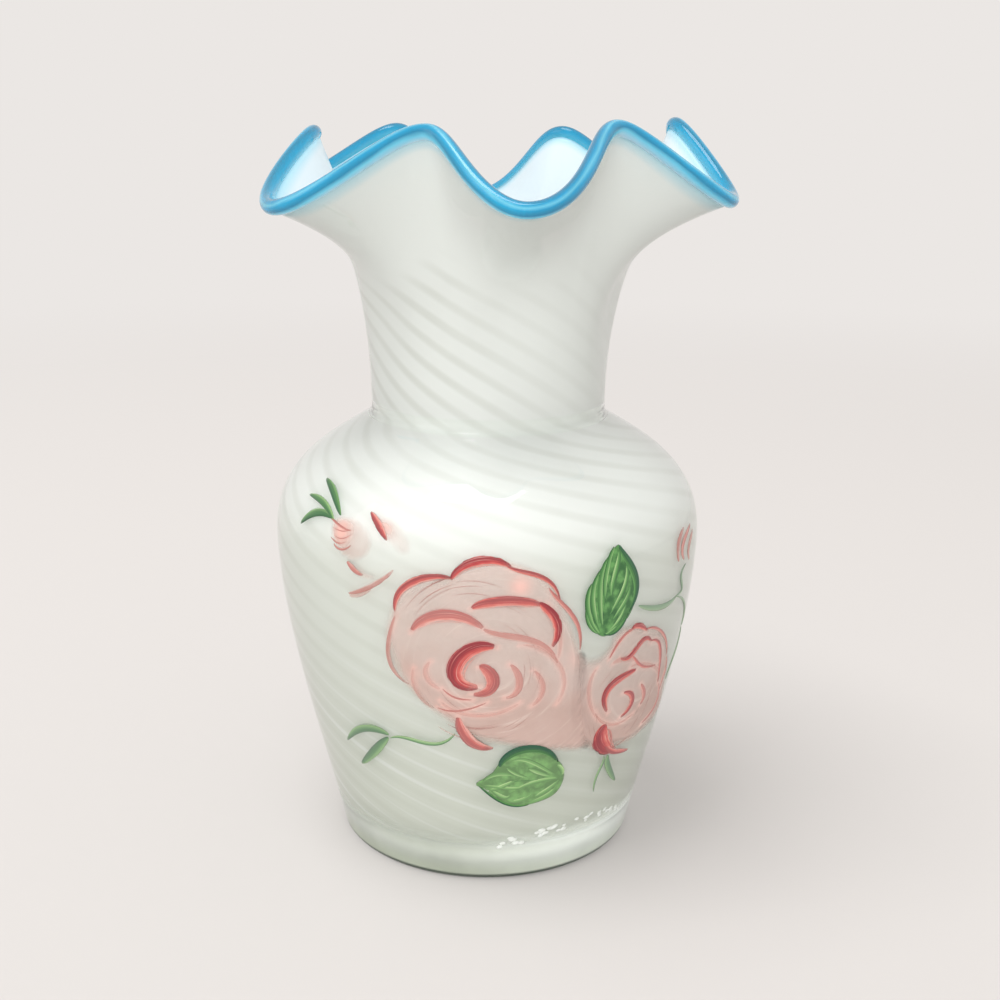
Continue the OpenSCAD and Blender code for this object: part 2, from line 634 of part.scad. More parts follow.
left_sprig_turn = -27;
left_sprig_height_share = 0.365;
left_sprig_shares = [
    [[-0.03, 0], [-0.2, 0.1], [-0.36, 0.06], [-0.53, -0.2], 1.1],
    [[-0.03, 0], [-0.12, -0.06], [-0.26, -0.2], [-0.38, -0.38], 1.2],
    [[-0.04, 0], [0.08, 0.03], [0.22, -0.03], [0.37, 0.04], 0.4]];

module left_sprig() {
    color([0.33, 0.58, 0.35])
        laid_on(left_sprig_turn, left_sprig_height_share * crease_z, stroke_t)
            strokes(left_sprig_shares, [sprig_l, sprig_l]);
}

clear_casing();
opal_lining();
blue_lip();
large_rose_wash();
large_rose_petals();
large_rose_shading();
small_rose_wash();
small_rose_petals();
small_rose_shading();
upper_leaf();
upper_leaf_veins();
lower_leaf();
lower_leaf_veins();
upper_stem();
right_bud();
left_bud();
left_bud_leaves();
loose_petals();
left_sprig();
lower_bud();
lower_bud_sepals();
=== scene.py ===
"""Ruffled glass vase: the finished look of its glass and enamel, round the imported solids.

Lengths are in metres and Z is up. The front faces -Y, and a turn is an angle about Z, in
degrees, from the front towards +X.
"""

import math
import random

import bmesh
import bpy
from bpy.props import FloatProperty, FloatVectorProperty, PointerProperty
from mathutils import Matrix, Vector
from mathutils.kdtree import KDTree


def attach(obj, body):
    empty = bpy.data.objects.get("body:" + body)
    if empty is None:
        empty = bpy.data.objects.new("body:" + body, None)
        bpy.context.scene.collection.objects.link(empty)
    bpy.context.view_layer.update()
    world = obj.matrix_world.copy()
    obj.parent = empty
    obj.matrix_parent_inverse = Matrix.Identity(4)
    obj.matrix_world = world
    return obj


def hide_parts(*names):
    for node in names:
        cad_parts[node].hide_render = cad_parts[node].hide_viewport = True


bl_info = {
    "name": "Ruffled Glass Vase",
    "version": (1, 0, 0),
    "blender": (4, 5, 0),
    "location": "View3D > Sidebar > Vase",
    "description": "Models a cased glass vase with a crimped blue rim and painted roses",
    "category": "Add Mesh",
}

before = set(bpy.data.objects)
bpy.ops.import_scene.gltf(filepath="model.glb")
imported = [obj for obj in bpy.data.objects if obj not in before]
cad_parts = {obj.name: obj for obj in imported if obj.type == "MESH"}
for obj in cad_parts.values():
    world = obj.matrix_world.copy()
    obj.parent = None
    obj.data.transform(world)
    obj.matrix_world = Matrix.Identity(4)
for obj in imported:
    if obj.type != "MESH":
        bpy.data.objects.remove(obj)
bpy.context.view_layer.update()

MM = 0.001


# Sizes and colours ---------------------------------------------------------------------


def length(name, description, mm, low, high):
    """A size that shows as a length in the sidebar."""
    return FloatProperty(name=name, description=description, default=mm * MM,
                         min=low * MM, max=high * MM, unit="LENGTH", precision=5)


def angle(name, description, degrees, low, high):
    """A size that shows as an angle in the sidebar."""
    return FloatProperty(name=name, description=description, default=math.radians(degrees),
                         min=math.radians(low), max=math.radians(high), unit="ROTATION")


def linear(red, green, blue):
    """A colour as a screen shows it, from 0 to 255, in the renderer's own scale."""
    parts = [part / 255 for part in (red, green, blue)]
    return tuple(part / 12.92 if part <= 0.04045 else ((part + 0.055) / 1.055) ** 2.4
                 for part in parts)


def colour(name, description, red, green, blue):
    """A colour that shows as a swatch in the sidebar."""
    return FloatVectorProperty(name=name, description=description, subtype="COLOR", size=3,
                               min=0, max=1, default=linear(red, green, blue))


class VaseSizes(bpy.types.PropertyGroup):
    """The vase's sizes, the same as the solid model's."""

    foot_r: length("Foot radius", "Radius of the foot above its rounded edge", 40.8, 36, 46)
    foot_round: length("Foot round", "Radius of the round on the foot's lower edge", 2, 1, 3)
    foot_slope: angle("Foot slope", "Lean of the wall where it leaves the foot", 13, 8, 18)
    foot_run: length("Foot run", "How far the wall keeps that lean", 26.7, 18, 34)
    base_t: length("Base thickness", "Clear glass under the opal floor", 9.5, 7, 13)
    hollow_r: length("Hollow radius", "Radius of the hollow under the foot", 30, 22, 33)
    hollow_depth: length("Hollow depth", "Depth of the hollow under the foot", 1.6, 0.8, 2.4)
    floor_round: length("Floor round", "Round between the inside floor and the wall", 7, 4, 10)
    belly_r: length("Belly radius", "Radius of the belly", 56.9, 50, 66)
    belly_rise: length("Belly rise", "Height of the belly above the foot's round", 84, 66, 102)
    belly_hold: length("Belly hold", "How far the wall stays near the belly's radius below it",
                       24, 16, 32)
    shoulder_hold: length("Shoulder hold",
                          "How far the wall stays near the belly's radius above it", 19, 12, 24)
    shoulder_rise: length("Shoulder rise", "Rise from the belly to the crease", 31.2, 25, 38)
    shoulder_slope: angle("Shoulder slope", "Slope of the shoulder at the crease", 34, 26, 42)
    shoulder_run: length("Shoulder run", "How far the shoulder keeps that slope", 12, 8, 15)
    crease_r: length("Crease radius", "Radius of the neck at the crease", 31, 26, 36)
    neck_rise: length("Neck rise", "Rise from the crease to the lip's crests", 72, 60, 86)
    neck_run: length("Neck run", "How far the neck runs straight up", 31, 22, 38)
    crest_r: length("Crest radius", "Radius of the lip at a crest", 46.3, 40, 52)
    dip_r: length("Dip radius", "Radius of the lip at a dip", 63, 55, 72)
    ruffle_drop: length("Ruffle drop", "Height from a dip of the lip to a crest", 17.8, 12, 22)
    crest_slope: angle("Crest slope", "Slope of the collar under a crest", 70, 60, 80)
    dip_slope: angle("Dip slope", "Slope of the collar under a dip", 21, 14, 32)
    crest_run: length("Crest run", "How far the collar keeps its slope under a crest", 19, 12, 24)
    dip_run: length("Dip run", "How far the collar keeps its slope under a dip", 34, 26, 40)
    thread_r: length("Thread radius", "Radius of the glass thread on the rim", 1.9, 1.5, 2.4)
    casing_t: length("Casing thickness", "Thickness of the clear outer glass", 1.5, 1.2, 2)
    lining_t: length("Lining thickness", "Thickness of the opal glass between ribs", 1.5, 1.2, 2)
    rim_t: length("Rim thickness", "Thickness of each glass at the rim", 0.9, 0.7, 1.2)
    rib_h: length("Rib height", "Height of the spiral ribs", 0.6, 0.3, 0.9)
    rib_turn: angle("Rib turn", "Turn of a rib from the collar to the floor", 490, 360, 560)
    stroke_t: length("Stroke thickness", "Thickness of a raised brush stroke", 0.35, 0.2, 0.6)
    wash_t: length("Wash thickness", "Thickness of the thin wash under a rose", 0.15, 0.1, 0.3)
    brush_w: length("Brush width", "Width of a full brush stroke", 2.2, 1.6, 3)
    rose_w: length("Large rose width", "Width of the large rose", 50, 42, 54)
    rose_h: length("Large rose height", "Height of the large rose", 54, 46, 58)
    small_rose_w: length("Small rose width", "Width of the small rose", 34, 28, 37)
    small_rose_h: length("Small rose height", "Height of the small rose", 40, 34, 43)
    upper_leaf_l: length("Upper leaf length", "Length of the upper leaf", 23.4, 19, 26)
    upper_leaf_w: length("Upper leaf width", "Width of the upper leaf", 15, 12, 16)
    lower_leaf_l: length("Lower leaf length", "Length of the lower leaf", 23.6, 19, 27)
    lower_leaf_w: length("Lower leaf width", "Width of the lower leaf", 15, 12, 16.5)
    bud_size: length("Bud size", "Size of a rosebud", 10, 8, 11.5)
    sprig_l: length("Sprig length", "Length of a sprig or a stem", 30, 25, 33)


class VaseColours(bpy.types.PropertyGroup):
    """The colours of the glasses, of the enamels and of the studio."""

    clear: colour("Clear glass", "Tint of the clear outer glass", 250, 253, 250)
    opal: colour("Opal glass", "White of the opal glass where it is thick", 252, 254, 252)
    opal_thin: colour("Thin opal glass", "Grey of the opal glass between its ribs", 229, 231, 226)
    # This grey-green is also the colour of the painted shade below the shoulder
    opal_low: colour("Low opal glass", "Grey-green of the opal glass near the foot", 208, 213, 196)
    foot: colour("Foot glass", "Green-grey in the depth of the foot's glass", 240, 246, 226)
    blue: colour("Blue glass", "Blue of the thread on the rim", 0, 170, 216)
    # The thread's crown in this pale blue is a painted highlight
    pale_blue: colour("Pale blue glass", "Blue of the thread's crown and sides", 118, 216, 240)
    inner: colour("Inner collar", "Faint blue of the opal glass inside the collar", 226, 240, 247)
    wash: colour("Rose wash", "Grey beige of the wash under a rose", 226, 203, 195)
    blush: colour("Blush enamel", "Pale pink of washes and petals", 204, 168, 156)
    glow: colour("Halo enamel", "Pink of the wash beside a stroke", 242, 190, 178)
    petal: colour("Petal enamel", "Pink of the petal strokes", 228, 170, 158)
    coral: colour("Coral enamel", "Coral of the petal strokes", 212, 102, 92)
    red: colour("Red enamel", "Red of the shading strokes", 178, 56, 60)
    maroon: colour("Dark red enamel", "Dark red of the shading strokes", 136, 34, 46)
    cream: colour("Cream enamel", "Pale end of a petal stroke", 252, 236, 226)
    leaf_light: colour("Light leaf green", "Light edge of a leaf's strokes", 184, 216, 152)
    leaf: colour("Leaf green", "Green of a leaf's strokes", 98, 158, 84)
    leaf_shade: colour("Leaf shade", "Green between a leaf's strokes", 38, 98, 42)
    dark_leaf: colour("Dark leaf green", "Dark green of veins and edges", 10, 78, 52)
    stem: colour("Stem green", "Grey-green of thin stems", 142, 162, 142)
    studio: colour("Studio", "Colour of the floor and the backdrop", 235, 231, 228)


# Shape ---------------------------------------------------------------------------------


def curve_at(points, t):
    """The place at t along a curve of four points."""
    a, b, c, d = points
    return (1 - t) ** 3 * a + 3 * t * (1 - t) ** 2 * b + 3 * t * t * (1 - t) * c + t ** 3 * d


def curve_run(points, t):
    """The direction at t of a curve of four points."""
    a, b, c, d = points
    return (1 - t) ** 2 * (b - a) + 2 * t * (1 - t) * (c - b) + t * t * (d - c)


def mix(a, b, share):
    """The value at a share of the way from a to b."""
    return a + (b - a) * share


def smooth(low, high, value):
    """0 below low, 1 above high, and an even swing between."""
    share = max(0.0, min(1.0, (value - low) / (high - low)))
    return share * share * (3 - 2 * share)


def turned(degrees, r, z):
    """The place at a turn, a radius and a height."""
    a = math.radians(degrees)
    return Vector((r * math.sin(a), -r * math.cos(a), z))


def turn_of(place):
    """The turn of a place, in degrees."""
    return math.degrees(math.atan2(place.x, -place.y))


# The lip's dips and crests, a dip first: the turn of each, its reach as a share of the dips' or
# the crests' radius, and its drop as a share of the ruffle's
LIP_TURNS = (8, 41, 72, 100, 128, 155, 185, 214, 243, 268, 305, 342)
LIP_REACHES = (0.98, 0.97, 0.98, 1.05, 1, 1.03, 1, 1.03, 1.05, 0.97, 0.96, 0.97)
LIP_DROPS = (0.98, 0, 0.92, -0.1, 1.01, 0, 1.03, -0.02, 0.9, 0.06, 1.03, 0.08)

# Steps over which slopes are measured: degrees and a share of the collar, and a height
NUDGE = 0.5
NUDGE_SHARE = 0.01
NUDGE_HEIGHT = 0.5 * MM

# The handle of a round corner as a share of its radius, and the ledge that the neck's root
# sits on as a share of the casing's thickness
ARC_HANDLE = 0.55
LEDGE_SHARE = 0.2

# Degrees from one rib to the next and over half a rib
RIB_PITCH = 20
RIB_HALF = 6

# Share of a rib's turn that is in the collar, how far up the collar the ribs run, and over
# what share of it they fade
NECK_TURN_SHARE = 0.225
RIB_TOP_SHARE = 0.5
RIB_FADE_SHARE = 0.15

WALL_STEPS = 120
FLOOR_CORNER_STEPS = 8


class VaseShape:
    """The vase's surfaces, worked out from its sizes as the solid model works them out."""

    def __init__(self, sizes):
        for name in VaseSizes.__annotations__:
            setattr(self, name, getattr(sizes, name))
        for name in ("crest_slope", "dip_slope", "rib_turn"):
            setattr(self, name, math.degrees(getattr(self, name)))
        self.belly_z = self.foot_round + self.belly_rise
        self.crease_z = self.belly_z + self.shoulder_rise
        self.crest_z = self.crease_z + self.neck_rise
        self.ledge = self.casing_t * LEDGE_SHARE
        root = Vector((self.foot_r, self.foot_round))
        belly = Vector((self.belly_r, self.belly_z))
        crease = Vector((self.crease_r + self.ledge, self.crease_z))
        lean = Vector((math.sin(self.foot_slope), math.cos(self.foot_slope)))
        fall = Vector((math.cos(self.shoulder_slope), -math.sin(self.shoulder_slope)))
        self.low_curve = (root, root + self.foot_run * lean,
                          belly - Vector((0, self.belly_hold)), belly)
        self.shoulder_curve = (belly, belly + Vector((0, self.shoulder_hold)),
                               crease + self.shoulder_run * fall, crease)
        self.outside = [self.wall_at(2 * k / WALL_STEPS, 0) for k in range(WALL_STEPS + 1)]
        wall_t = self.casing_t + self.lining_t
        self.vessel = self.hollow_line(wall_t, self.base_t + self.lining_t,
                                       self.crease_r - wall_t)
        self.runs = [0.0]
        for before, after in zip(self.vessel, self.vessel[1:]):
            self.runs.append(self.runs[-1] + (after - before).length)
        self.seat = math.sqrt(self.thread_r ** 2 - self.rim_t ** 2)
        self.rims = {}

    # Body

    def wall_at(self, v, depth):
        """A place on the wall: foot to belly for v from 0 to 1, belly to crease to 2."""
        curve, share = (self.low_curve, v) if v < 1 else (self.shoulder_curve, v - 1)
        run = curve_run(curve, share).normalized()
        return curve_at(curve, share) - depth * Vector((run.y, -run.x))

    def hollow_line(self, depth, floor_z, neck_r):
        """A hollow's line from its floor up to the crease."""
        wall = [self.wall_at(2 * k / WALL_STEPS, depth) for k in range(WALL_STEPS)]
        wall = [p for p in wall if p.y > floor_z + self.floor_round]
        start = wall[0]
        lean = (wall[1] - start).normalized()
        drop = start.y - floor_z
        foot = Vector((start.x - drop, floor_z))
        handle = ARC_HANDLE * drop
        corner = (foot, foot + Vector((handle, 0)), start - handle * lean, start)
        line = [curve_at(corner, k / FLOOR_CORNER_STEPS) for k in range(FLOOR_CORNER_STEPS)]
        return line + wall + [Vector((neck_r, self.crease_z))]

    def radius_at(self, z):
        """The outside's radius at a height on the body."""
        line = self.outside
        if z <= line[0].y:
            return line[0].x
        for low, high in zip(line, line[1:]):
            if z <= high.y:
                return mix(low.x, high.x, (z - low.y) / (high.y - low.y))
        return line[-1].x

    def on_body(self, degrees, z, height):
        """A place at a height over the body's outside."""
        lean = self.radius_at(z + NUDGE_HEIGHT) - self.radius_at(z - NUDGE_HEIGHT)
        lean /= 2 * NUDGE_HEIGHT
        size = math.hypot(1, lean)
        return turned(degrees, self.radius_at(z) + height / size, z - height * lean / size)

    # Ribs

    def wall_lag(self, z):
        """How far the ribs lag below the crease, in degrees, at a height."""
        line, runs = self.vessel, self.runs
        run = runs[-1]
        for k, (low, high) in enumerate(zip(line, line[1:])):
            if z <= high.y:
                share = max(0.0, z - low.y) / (high.y - low.y) if high.y > low.y else 0.0
                run = mix(runs[k], runs[k + 1], share)
                break
        return self.rib_turn * mix(1, NECK_TURN_SHARE, run / runs[-1])

    def neck_lag(self, share):
        """How far the ribs lag in the collar, in degrees."""
        return self.rib_turn * NECK_TURN_SHARE * (1 - share / RIB_TOP_SHARE)

    def neck_share(self, z):
        """The share of a straight collar's rise at a height."""
        return max(0.0, z - self.crease_z) / self.neck_rise

    # Lip and collar

    def lip_places(self, degrees):
        """The dip or crest before a turn, and the share of the way to the next."""
        b = degrees % 360
        if b < LIP_TURNS[0]:
            b += 360
        k = max(i for i, t in enumerate(LIP_TURNS) if t <= b)
        end = LIP_TURNS[k + 1] if k + 1 < len(LIP_TURNS) else LIP_TURNS[0] + 360
        return k, (1 - math.cos(math.pi * (b - LIP_TURNS[k]) / (end - LIP_TURNS[k]))) / 2

    def lip_middle(self, degrees):
        """The middle of the glass thread at a turn."""
        k, q = self.lip_places(degrees)
        reaches, heights = [], []
        for i in (k, (k + 1) % len(LIP_TURNS)):
            reaches.append((self.crest_r if i % 2 else self.dip_r) * LIP_REACHES[i])
            heights.append(self.crest_z - self.ruffle_drop * LIP_DROPS[i])
        return turned(degrees, mix(*reaches, q), mix(*heights, q))

    def crest_share(self, degrees):
        """0 at a dip of the lip and 1 at a crest."""
        k, q = self.lip_places(degrees)
        return 1 - q if k % 2 else q

    def lip_lean(self, degrees):
        """The collar's slope at the lip."""
        slope = math.radians(mix(self.dip_slope, self.crest_slope, self.crest_share(degrees)))
        return turned(degrees, math.cos(slope), math.sin(slope))

    def rim(self, degrees):
        """The lip's middle, its rise and side square to its run, the flare, and the rim."""
        key = round(degrees, 4)
        if key not in self.rims:
            middle, lean = self.lip_middle(degrees), self.lip_lean(degrees)
            run = self.lip_middle(degrees + NUDGE) - self.lip_middle(degrees - NUDGE)
            run.normalize()
            rise = (lean - lean.dot(run) * run).normalized()
            side = run.cross(rise)
            flare = mix(self.dip_run, self.crest_run, self.crest_share(degrees)) * lean
            self.rims[key] = (middle, rise, side, flare,
                              middle - self.seat * rise + self.rim_t * side)
        return self.rims[key]

    def collar_outer(self, degrees, share):
        """The collar's outside from the crease, at 0, to the rim, at 1."""
        root = turned(degrees, self.crease_r, self.crease_z)
        flare, rim = self.rim(degrees)[3:]
        return curve_at((root, root + Vector((0, 0, self.neck_run)), rim - flare, rim), share)

    def collar_at(self, degrees, share, body_depth, rim_depth):
        """A place set in from the collar's outside."""
        if share >= 1:
            normal = self.rim(degrees)[2]
        else:
            outer = self.collar_outer
            run = outer(degrees + NUDGE, share) - outer(degrees - NUDGE, share)
            rise = outer(degrees, share + NUDGE_SHARE)
            rise -= outer(degrees, max(0.0, share - NUDGE_SHARE))
            normal = run.cross(rise).normalized()
        return self.collar_outer(degrees, share) - mix(body_depth, rim_depth, share) * normal


# Mesh helpers --------------------------------------------------------------------------

# A profile is spun over one of these sectors, which is then repeated round the axis
SECTORS = 12
MERGE_DISTANCE = 1e-6

# Radius, foot and rise of the straight tube that stands for the collar until it is crimped
TUBE_R = 30 * MM
TUBE_FOOT = 200 * MM
TUBE_RISE = 50 * MM

# Steps over the hollow under the foot and round the foot's edge
HOLLOW_STEPS = 8
CORNER_STEPS = 9

# What a profile's row carries below the crease, where nothing is crimped
ON_BODY = {"share": -1.0, "depth": 0.0, "rim": 0.0}


def finish_piece(bm, name, material, nodes=()):
    """Makes the piece's object, and says what it rides on and stands for."""
    for face in bm.faces:
        face.smooth = True
    mesh = bpy.data.meshes.new(name)
    bm.to_mesh(mesh)
    bm.free()
    mesh.materials.append(material)
    piece = bpy.data.objects.new(name, mesh)
    bpy.context.scene.collection.objects.link(piece)
    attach(piece, "root")
    if nodes:
        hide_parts(*nodes)


def closed(bm):
    """Turns all faces of separate closed solids outwards."""
    bmesh.ops.recalc_face_normals(bm, faces=bm.faces)
    return bm


def spun(rows, columns):
    """Spins a closed profile round Z. A row is a radius and a height, then values by layer."""
    bm = bmesh.new()
    layers = {name: bm.verts.layers.float.new(name) for name in rows[0][2]}
    verts = []
    for r, z, values in rows:
        vert = bm.verts.new((0, -r, z))
        for name, value in values.items():
            vert[layers[name]] = value
        verts.append(vert)
    edges = [bm.edges.new(pair) for pair in zip(verts, verts[1:] + verts[:1])]
    sector = 2 * math.pi / SECTORS
    bmesh.ops.spin(bm, geom=verts + edges, cent=(0, 0, 0), axis=(0, 0, 1), dvec=(0, 0, 0),
                   angle=sector, steps=columns // SECTORS, use_merge=False, use_duplicate=False)
    first = bm.verts[:] + bm.edges[:] + bm.faces[:]
    for k in range(1, SECTORS):
        made = bmesh.ops.duplicate(bm, geom=first)["geom"]
        bmesh.ops.rotate(bm, cent=(0, 0, 0), matrix=Matrix.Rotation(k * sector, 3, "Z"),
                         verts=[v for v in made if isinstance(v, bmesh.types.BMVert)])
    bmesh.ops.remove_doubles(bm, verts=bm.verts, dist=MERGE_DISTANCE)
    return closed(bm)


def foot_rows(shape, inset, corner_steps, values):
    """Profile rows of the hollow under the foot and of the foot's round, set in from both."""
    rows = []
    for k in range(HOLLOW_STEPS + 1):
        share = k / HOLLOW_STEPS
        rows.append((shape.hollow_r * share, shape.hollow_depth * (1 - share ** 2) + inset,
                     values))
    middle, r = shape.foot_r - shape.foot_round, shape.foot_round - inset
    for k in corner_steps:
        t = math.pi / 2 * k / CORNER_STEPS
        rows.append((middle + r * math.sin(t), shape.foot_round - r * math.cos(t), values))
    return rows


def collar_rows(depth, rim_depth, shares, **values):
    """Profile rows of one side of the collar, straight up until it is crimped."""
    return [(TUBE_R - depth, TUBE_FOOT + share * TUBE_RISE,
             dict(values, share=share, depth=depth, rim=rim_depth)) for share in shares]


def crimped(bm, shape):
    """Crimps the collar's rings into the six waves of the lip."""
    share, depth, rim = (bm.verts.layers.float[name] for name in ("share", "depth", "rim"))
    for vert in bm.verts:
        if vert[share] >= 0:
            vert.co = shape.collar_at(turn_of(vert.co), vert[share], vert[depth], vert[rim])


# Materials -----------------------------------------------------------------------------


class Term:
    """An output of a finish's nodes, which takes part in sums as a number does."""

    def __init__(self, finish, socket):
        self.finish = finish
        self.socket = socket

    def __add__(self, other):
        return self.finish.maths("ADD", self, other)

    def __radd__(self, other):
        return self.finish.maths("ADD", other, self)

    def __sub__(self, other):
        return self.finish.maths("SUBTRACT", self, other)

    def __rsub__(self, other):
        return self.finish.maths("SUBTRACT", other, self)

    def __mul__(self, other):
        return self.finish.maths("MULTIPLY", self, other)

    def __rmul__(self, other):
        return self.finish.maths("MULTIPLY", other, self)

    def __truediv__(self, other):
        return self.finish.maths("DIVIDE", self, other)

    def __rtruediv__(self, other):
        return self.finish.maths("DIVIDE", other, self)

    def __neg__(self):
        return self.finish.maths("MULTIPLY", self, -1.0)


def shown(shade):
    """A colour with its fourth part, or the colour that a finish's nodes give."""
    return shade if isinstance(shade, Term) else (*shade, 1.0)


def dimmed(shade, share):
    """A colour with a share of its light."""
    return tuple(part * share for part in shade)


class Finish:
    """A material that is being put together."""

    def __init__(self, name):
        self.material = bpy.data.materials.new(name)
        self.material.use_nodes = True
        self.tree = self.material.node_tree
        self.tree.nodes.clear()

    def add(self, kind, settings=None, inputs=None, output=0):
        """Adds a node with its settings, then its inputs, and gives one of its outputs."""
        node = self.tree.nodes.new(kind)
        for name, value in (settings or {}).items():
            if name == "stops":
                stops = node.color_ramp.elements
                while len(stops) < len(value):
                    stops.new(0.5)
                for stop, (place, shade) in zip(stops, value):
                    stop.position = place
                    stop.color = shade
            else:
                setattr(node, name, value)
        for key, value in (inputs or {}).items():
            if isinstance(value, Term):
                self.tree.links.new(value.socket, node.inputs[key])
            else:
                node.inputs[key].default_value = value
        return Term(self, node.outputs[output])

    def maths(self, operation, *parts):
        """The result of a sum."""
        return self.add("ShaderNodeMath", {"operation": operation}, dict(enumerate(parts)))

    def attribute(self, name, output="Fac"):
        """A value that the mesh carries."""
        return self.add("ShaderNodeAttribute", {"attribute_name": name}, output=output)

    def place(self):
        """The place in the piece's own space."""
        return self.add("ShaderNodeTexCoord", output="Object")

    def split(self, vector):
        """The three parts of a vector."""
        parts = self.add("ShaderNodeSeparateXYZ", inputs={0: vector})
        outputs = parts.socket.node.outputs
        return [Term(self, outputs[i]) for i in range(3)]

    def join(self, x, y, z):
        """A vector from its three parts."""
        return self.add("ShaderNodeCombineXYZ", inputs={0: x, 1: y, 2: z})

    def noise(self, vector, scale=1.0, detail=2.0):
        """An even noise from 0 to 1."""
        return self.add("ShaderNodeTexNoise",
                        inputs={"Vector": vector, "Scale": scale, "Detail": detail})

    def hairs(self, lengthwise, crosswise, seeds, detail):
        """Noise in streaks along a brush stroke, which differs from stroke to stroke."""
        along, across, seed = (self.attribute(name) for name in ("along", "across", "seed"))
        return self.noise(self.join(along * lengthwise, across * crosswise, seed * seeds),
                          detail=detail)

    def swing(self, value, low, high, start=0.0, end=1.0):
        """A value carried smoothly from start to end as it goes from low to high."""
        return self.add("ShaderNodeMapRange", {"interpolation_type": "SMOOTHSTEP"},
                        {0: value, 1: low, 2: high, 3: start, 4: end})

    def limit(self, value):
        """A value held between 0 and 1."""
        return self.add("ShaderNodeClamp", inputs={0: value})

    def blend(self, share, a, b):
        """A colour a share of the way from a to b."""
        return self.add("ShaderNodeMix", {"data_type": "RGBA"},
                        {0: share, 6: shown(a), 7: shown(b)}, output=2)

    def ramp(self, value, *stops):
        """A colour from stops, each a value and its colour."""
        return self.add("ShaderNodeValToRGB",
                        {"stops": [(place, shown(shade)) for place, shade in stops]}, {0: value})

    def streaked(self, shade, hairs, colours, streaks):
        """A colour under streaks, each over a range of the hairs' noise."""
        for low, high, share, name in streaks:
            shade = self.blend(self.swing(hairs, low, high, 0.0, share), shade,
                               getattr(colours, name))
        return shade

    def surface(self, **sockets):
        """The main shader. Names are the shader's sockets, with _ for a space."""
        return self.add("ShaderNodeBsdfPrincipled",
                        inputs={name.replace("_", " "): value for name, value in sockets.items()})

    def bump(self, height, distance):
        """A normal from a height."""
        return self.add("ShaderNodeBump", inputs={"Height": height, "Distance": distance})

    def done(self, shader, lets_lamps_through=False):
        """Ends the material. Glass and thin enamel let the lamps' light through."""
        if lets_lamps_through:
            shadow = self.add("ShaderNodeLightPath", output="Is Shadow Ray")
            through = self.add("ShaderNodeBsdfTransparent")
            shader = self.add("ShaderNodeMixShader", inputs={0: shadow, 1: shader, 2: through})
        end = self.tree.nodes.new("ShaderNodeOutputMaterial")
        self.tree.links.new(shader.socket, end.inputs["Surface"])
        return self.material


GLASS_IOR = 1.5

# Heights over which the clear glass turns grey where it meets the table, a painted contact shadow
CONTACT_SHADOW_HEIGHTS = (1.4 * MM, 0.2 * MM)


def clear_glass(colours):
    """Clear glass, with a painted contact shadow: grey at the edge that it stands on."""
    f = Finish("clear_glass")
    height = f.split(f.place())[2]
    # Painted contact shadow: the glass's lowest edge is shaded grey-green where it stands on the
    # table
    shade = f.blend(f.swing(height, *CONTACT_SHADOW_HEIGHTS), colours.clear, colours.stem)
    shader = f.surface(Base_Color=shade, Roughness=0.015, IOR=GLASS_IOR, Transmission_Weight=1.0)
    return f.done(shader, lets_lamps_through=True)


# Heights over which the opal glass changes: towards the foot, from the shoulder down to the
# belly where painted shade darkens it, from the shoulder to the neck, and towards the lip inside
# the collar
OPAL_LOW = (85 * MM, 12 * MM)
OPAL_SHADE_BELOW_SHOULDER = (100 * MM, 85 * MM)
OPAL_NECK = (115 * MM, 122 * MM)
OPAL_INSIDE = (150 * MM, 175 * MM)

# Places from left to right over which the neck's lines fade and the low streaks fade
NECK_LINES_FADE = (-12 * MM, 20 * MM)
STREAKS_FADE = (22 * MM, -12 * MM)

# Shares of the collar over which the lines end and the rim's blue begins
LINES_END = (0.6, 0.42)
RIM_BLUE_START = (0.95, 1.0)

# Grain and detail of the noises that bend the lines, fade them and cloud the glass
LINE_NOISE = (90.0, 3.0)
FADE_NOISE = (28.0, 2.0)
CLOUD_NOISE = (22.0, 3.0)

# How the lines wander off their spiral and how far that is drawn out upwards, and the ranges
# of their wave that show as a grey line and as a white streak
LINE_WANDER = 1.6
LINE_STRETCH = 0.12
LINE_RANGE = (-0.2, 1.2)
STREAK_RANGE = (0.7, 1.25)

# Range of the noise over which a line fades, and the least that is left of it
LINE_FADE = (0.3, 0.62, 0.4, 1.0)

# How much each of these shows: the grey of lines, of the neck's lines as well, of clouds and
# of the whole neck, what the neck's lines lose at the right, the painted shade below the shoulder
# and the tone of the foot, the white of streaks and what is left of it at the right, and the rim's
# blue
LINE_GREY = 0.5
NECK_LINE_GREY = 0.3
CLOUD_GREY = 0.4
NECK_GREY = 0.12
NECK_LINE_LOSS = 0.75
BELLY_PAINTED_SHADE = 0.33
LOW_TONE = 0.24
STREAK_WHITE = 0.8
STREAK_RIGHT = 0.25
RIM_BLUE = 0.5


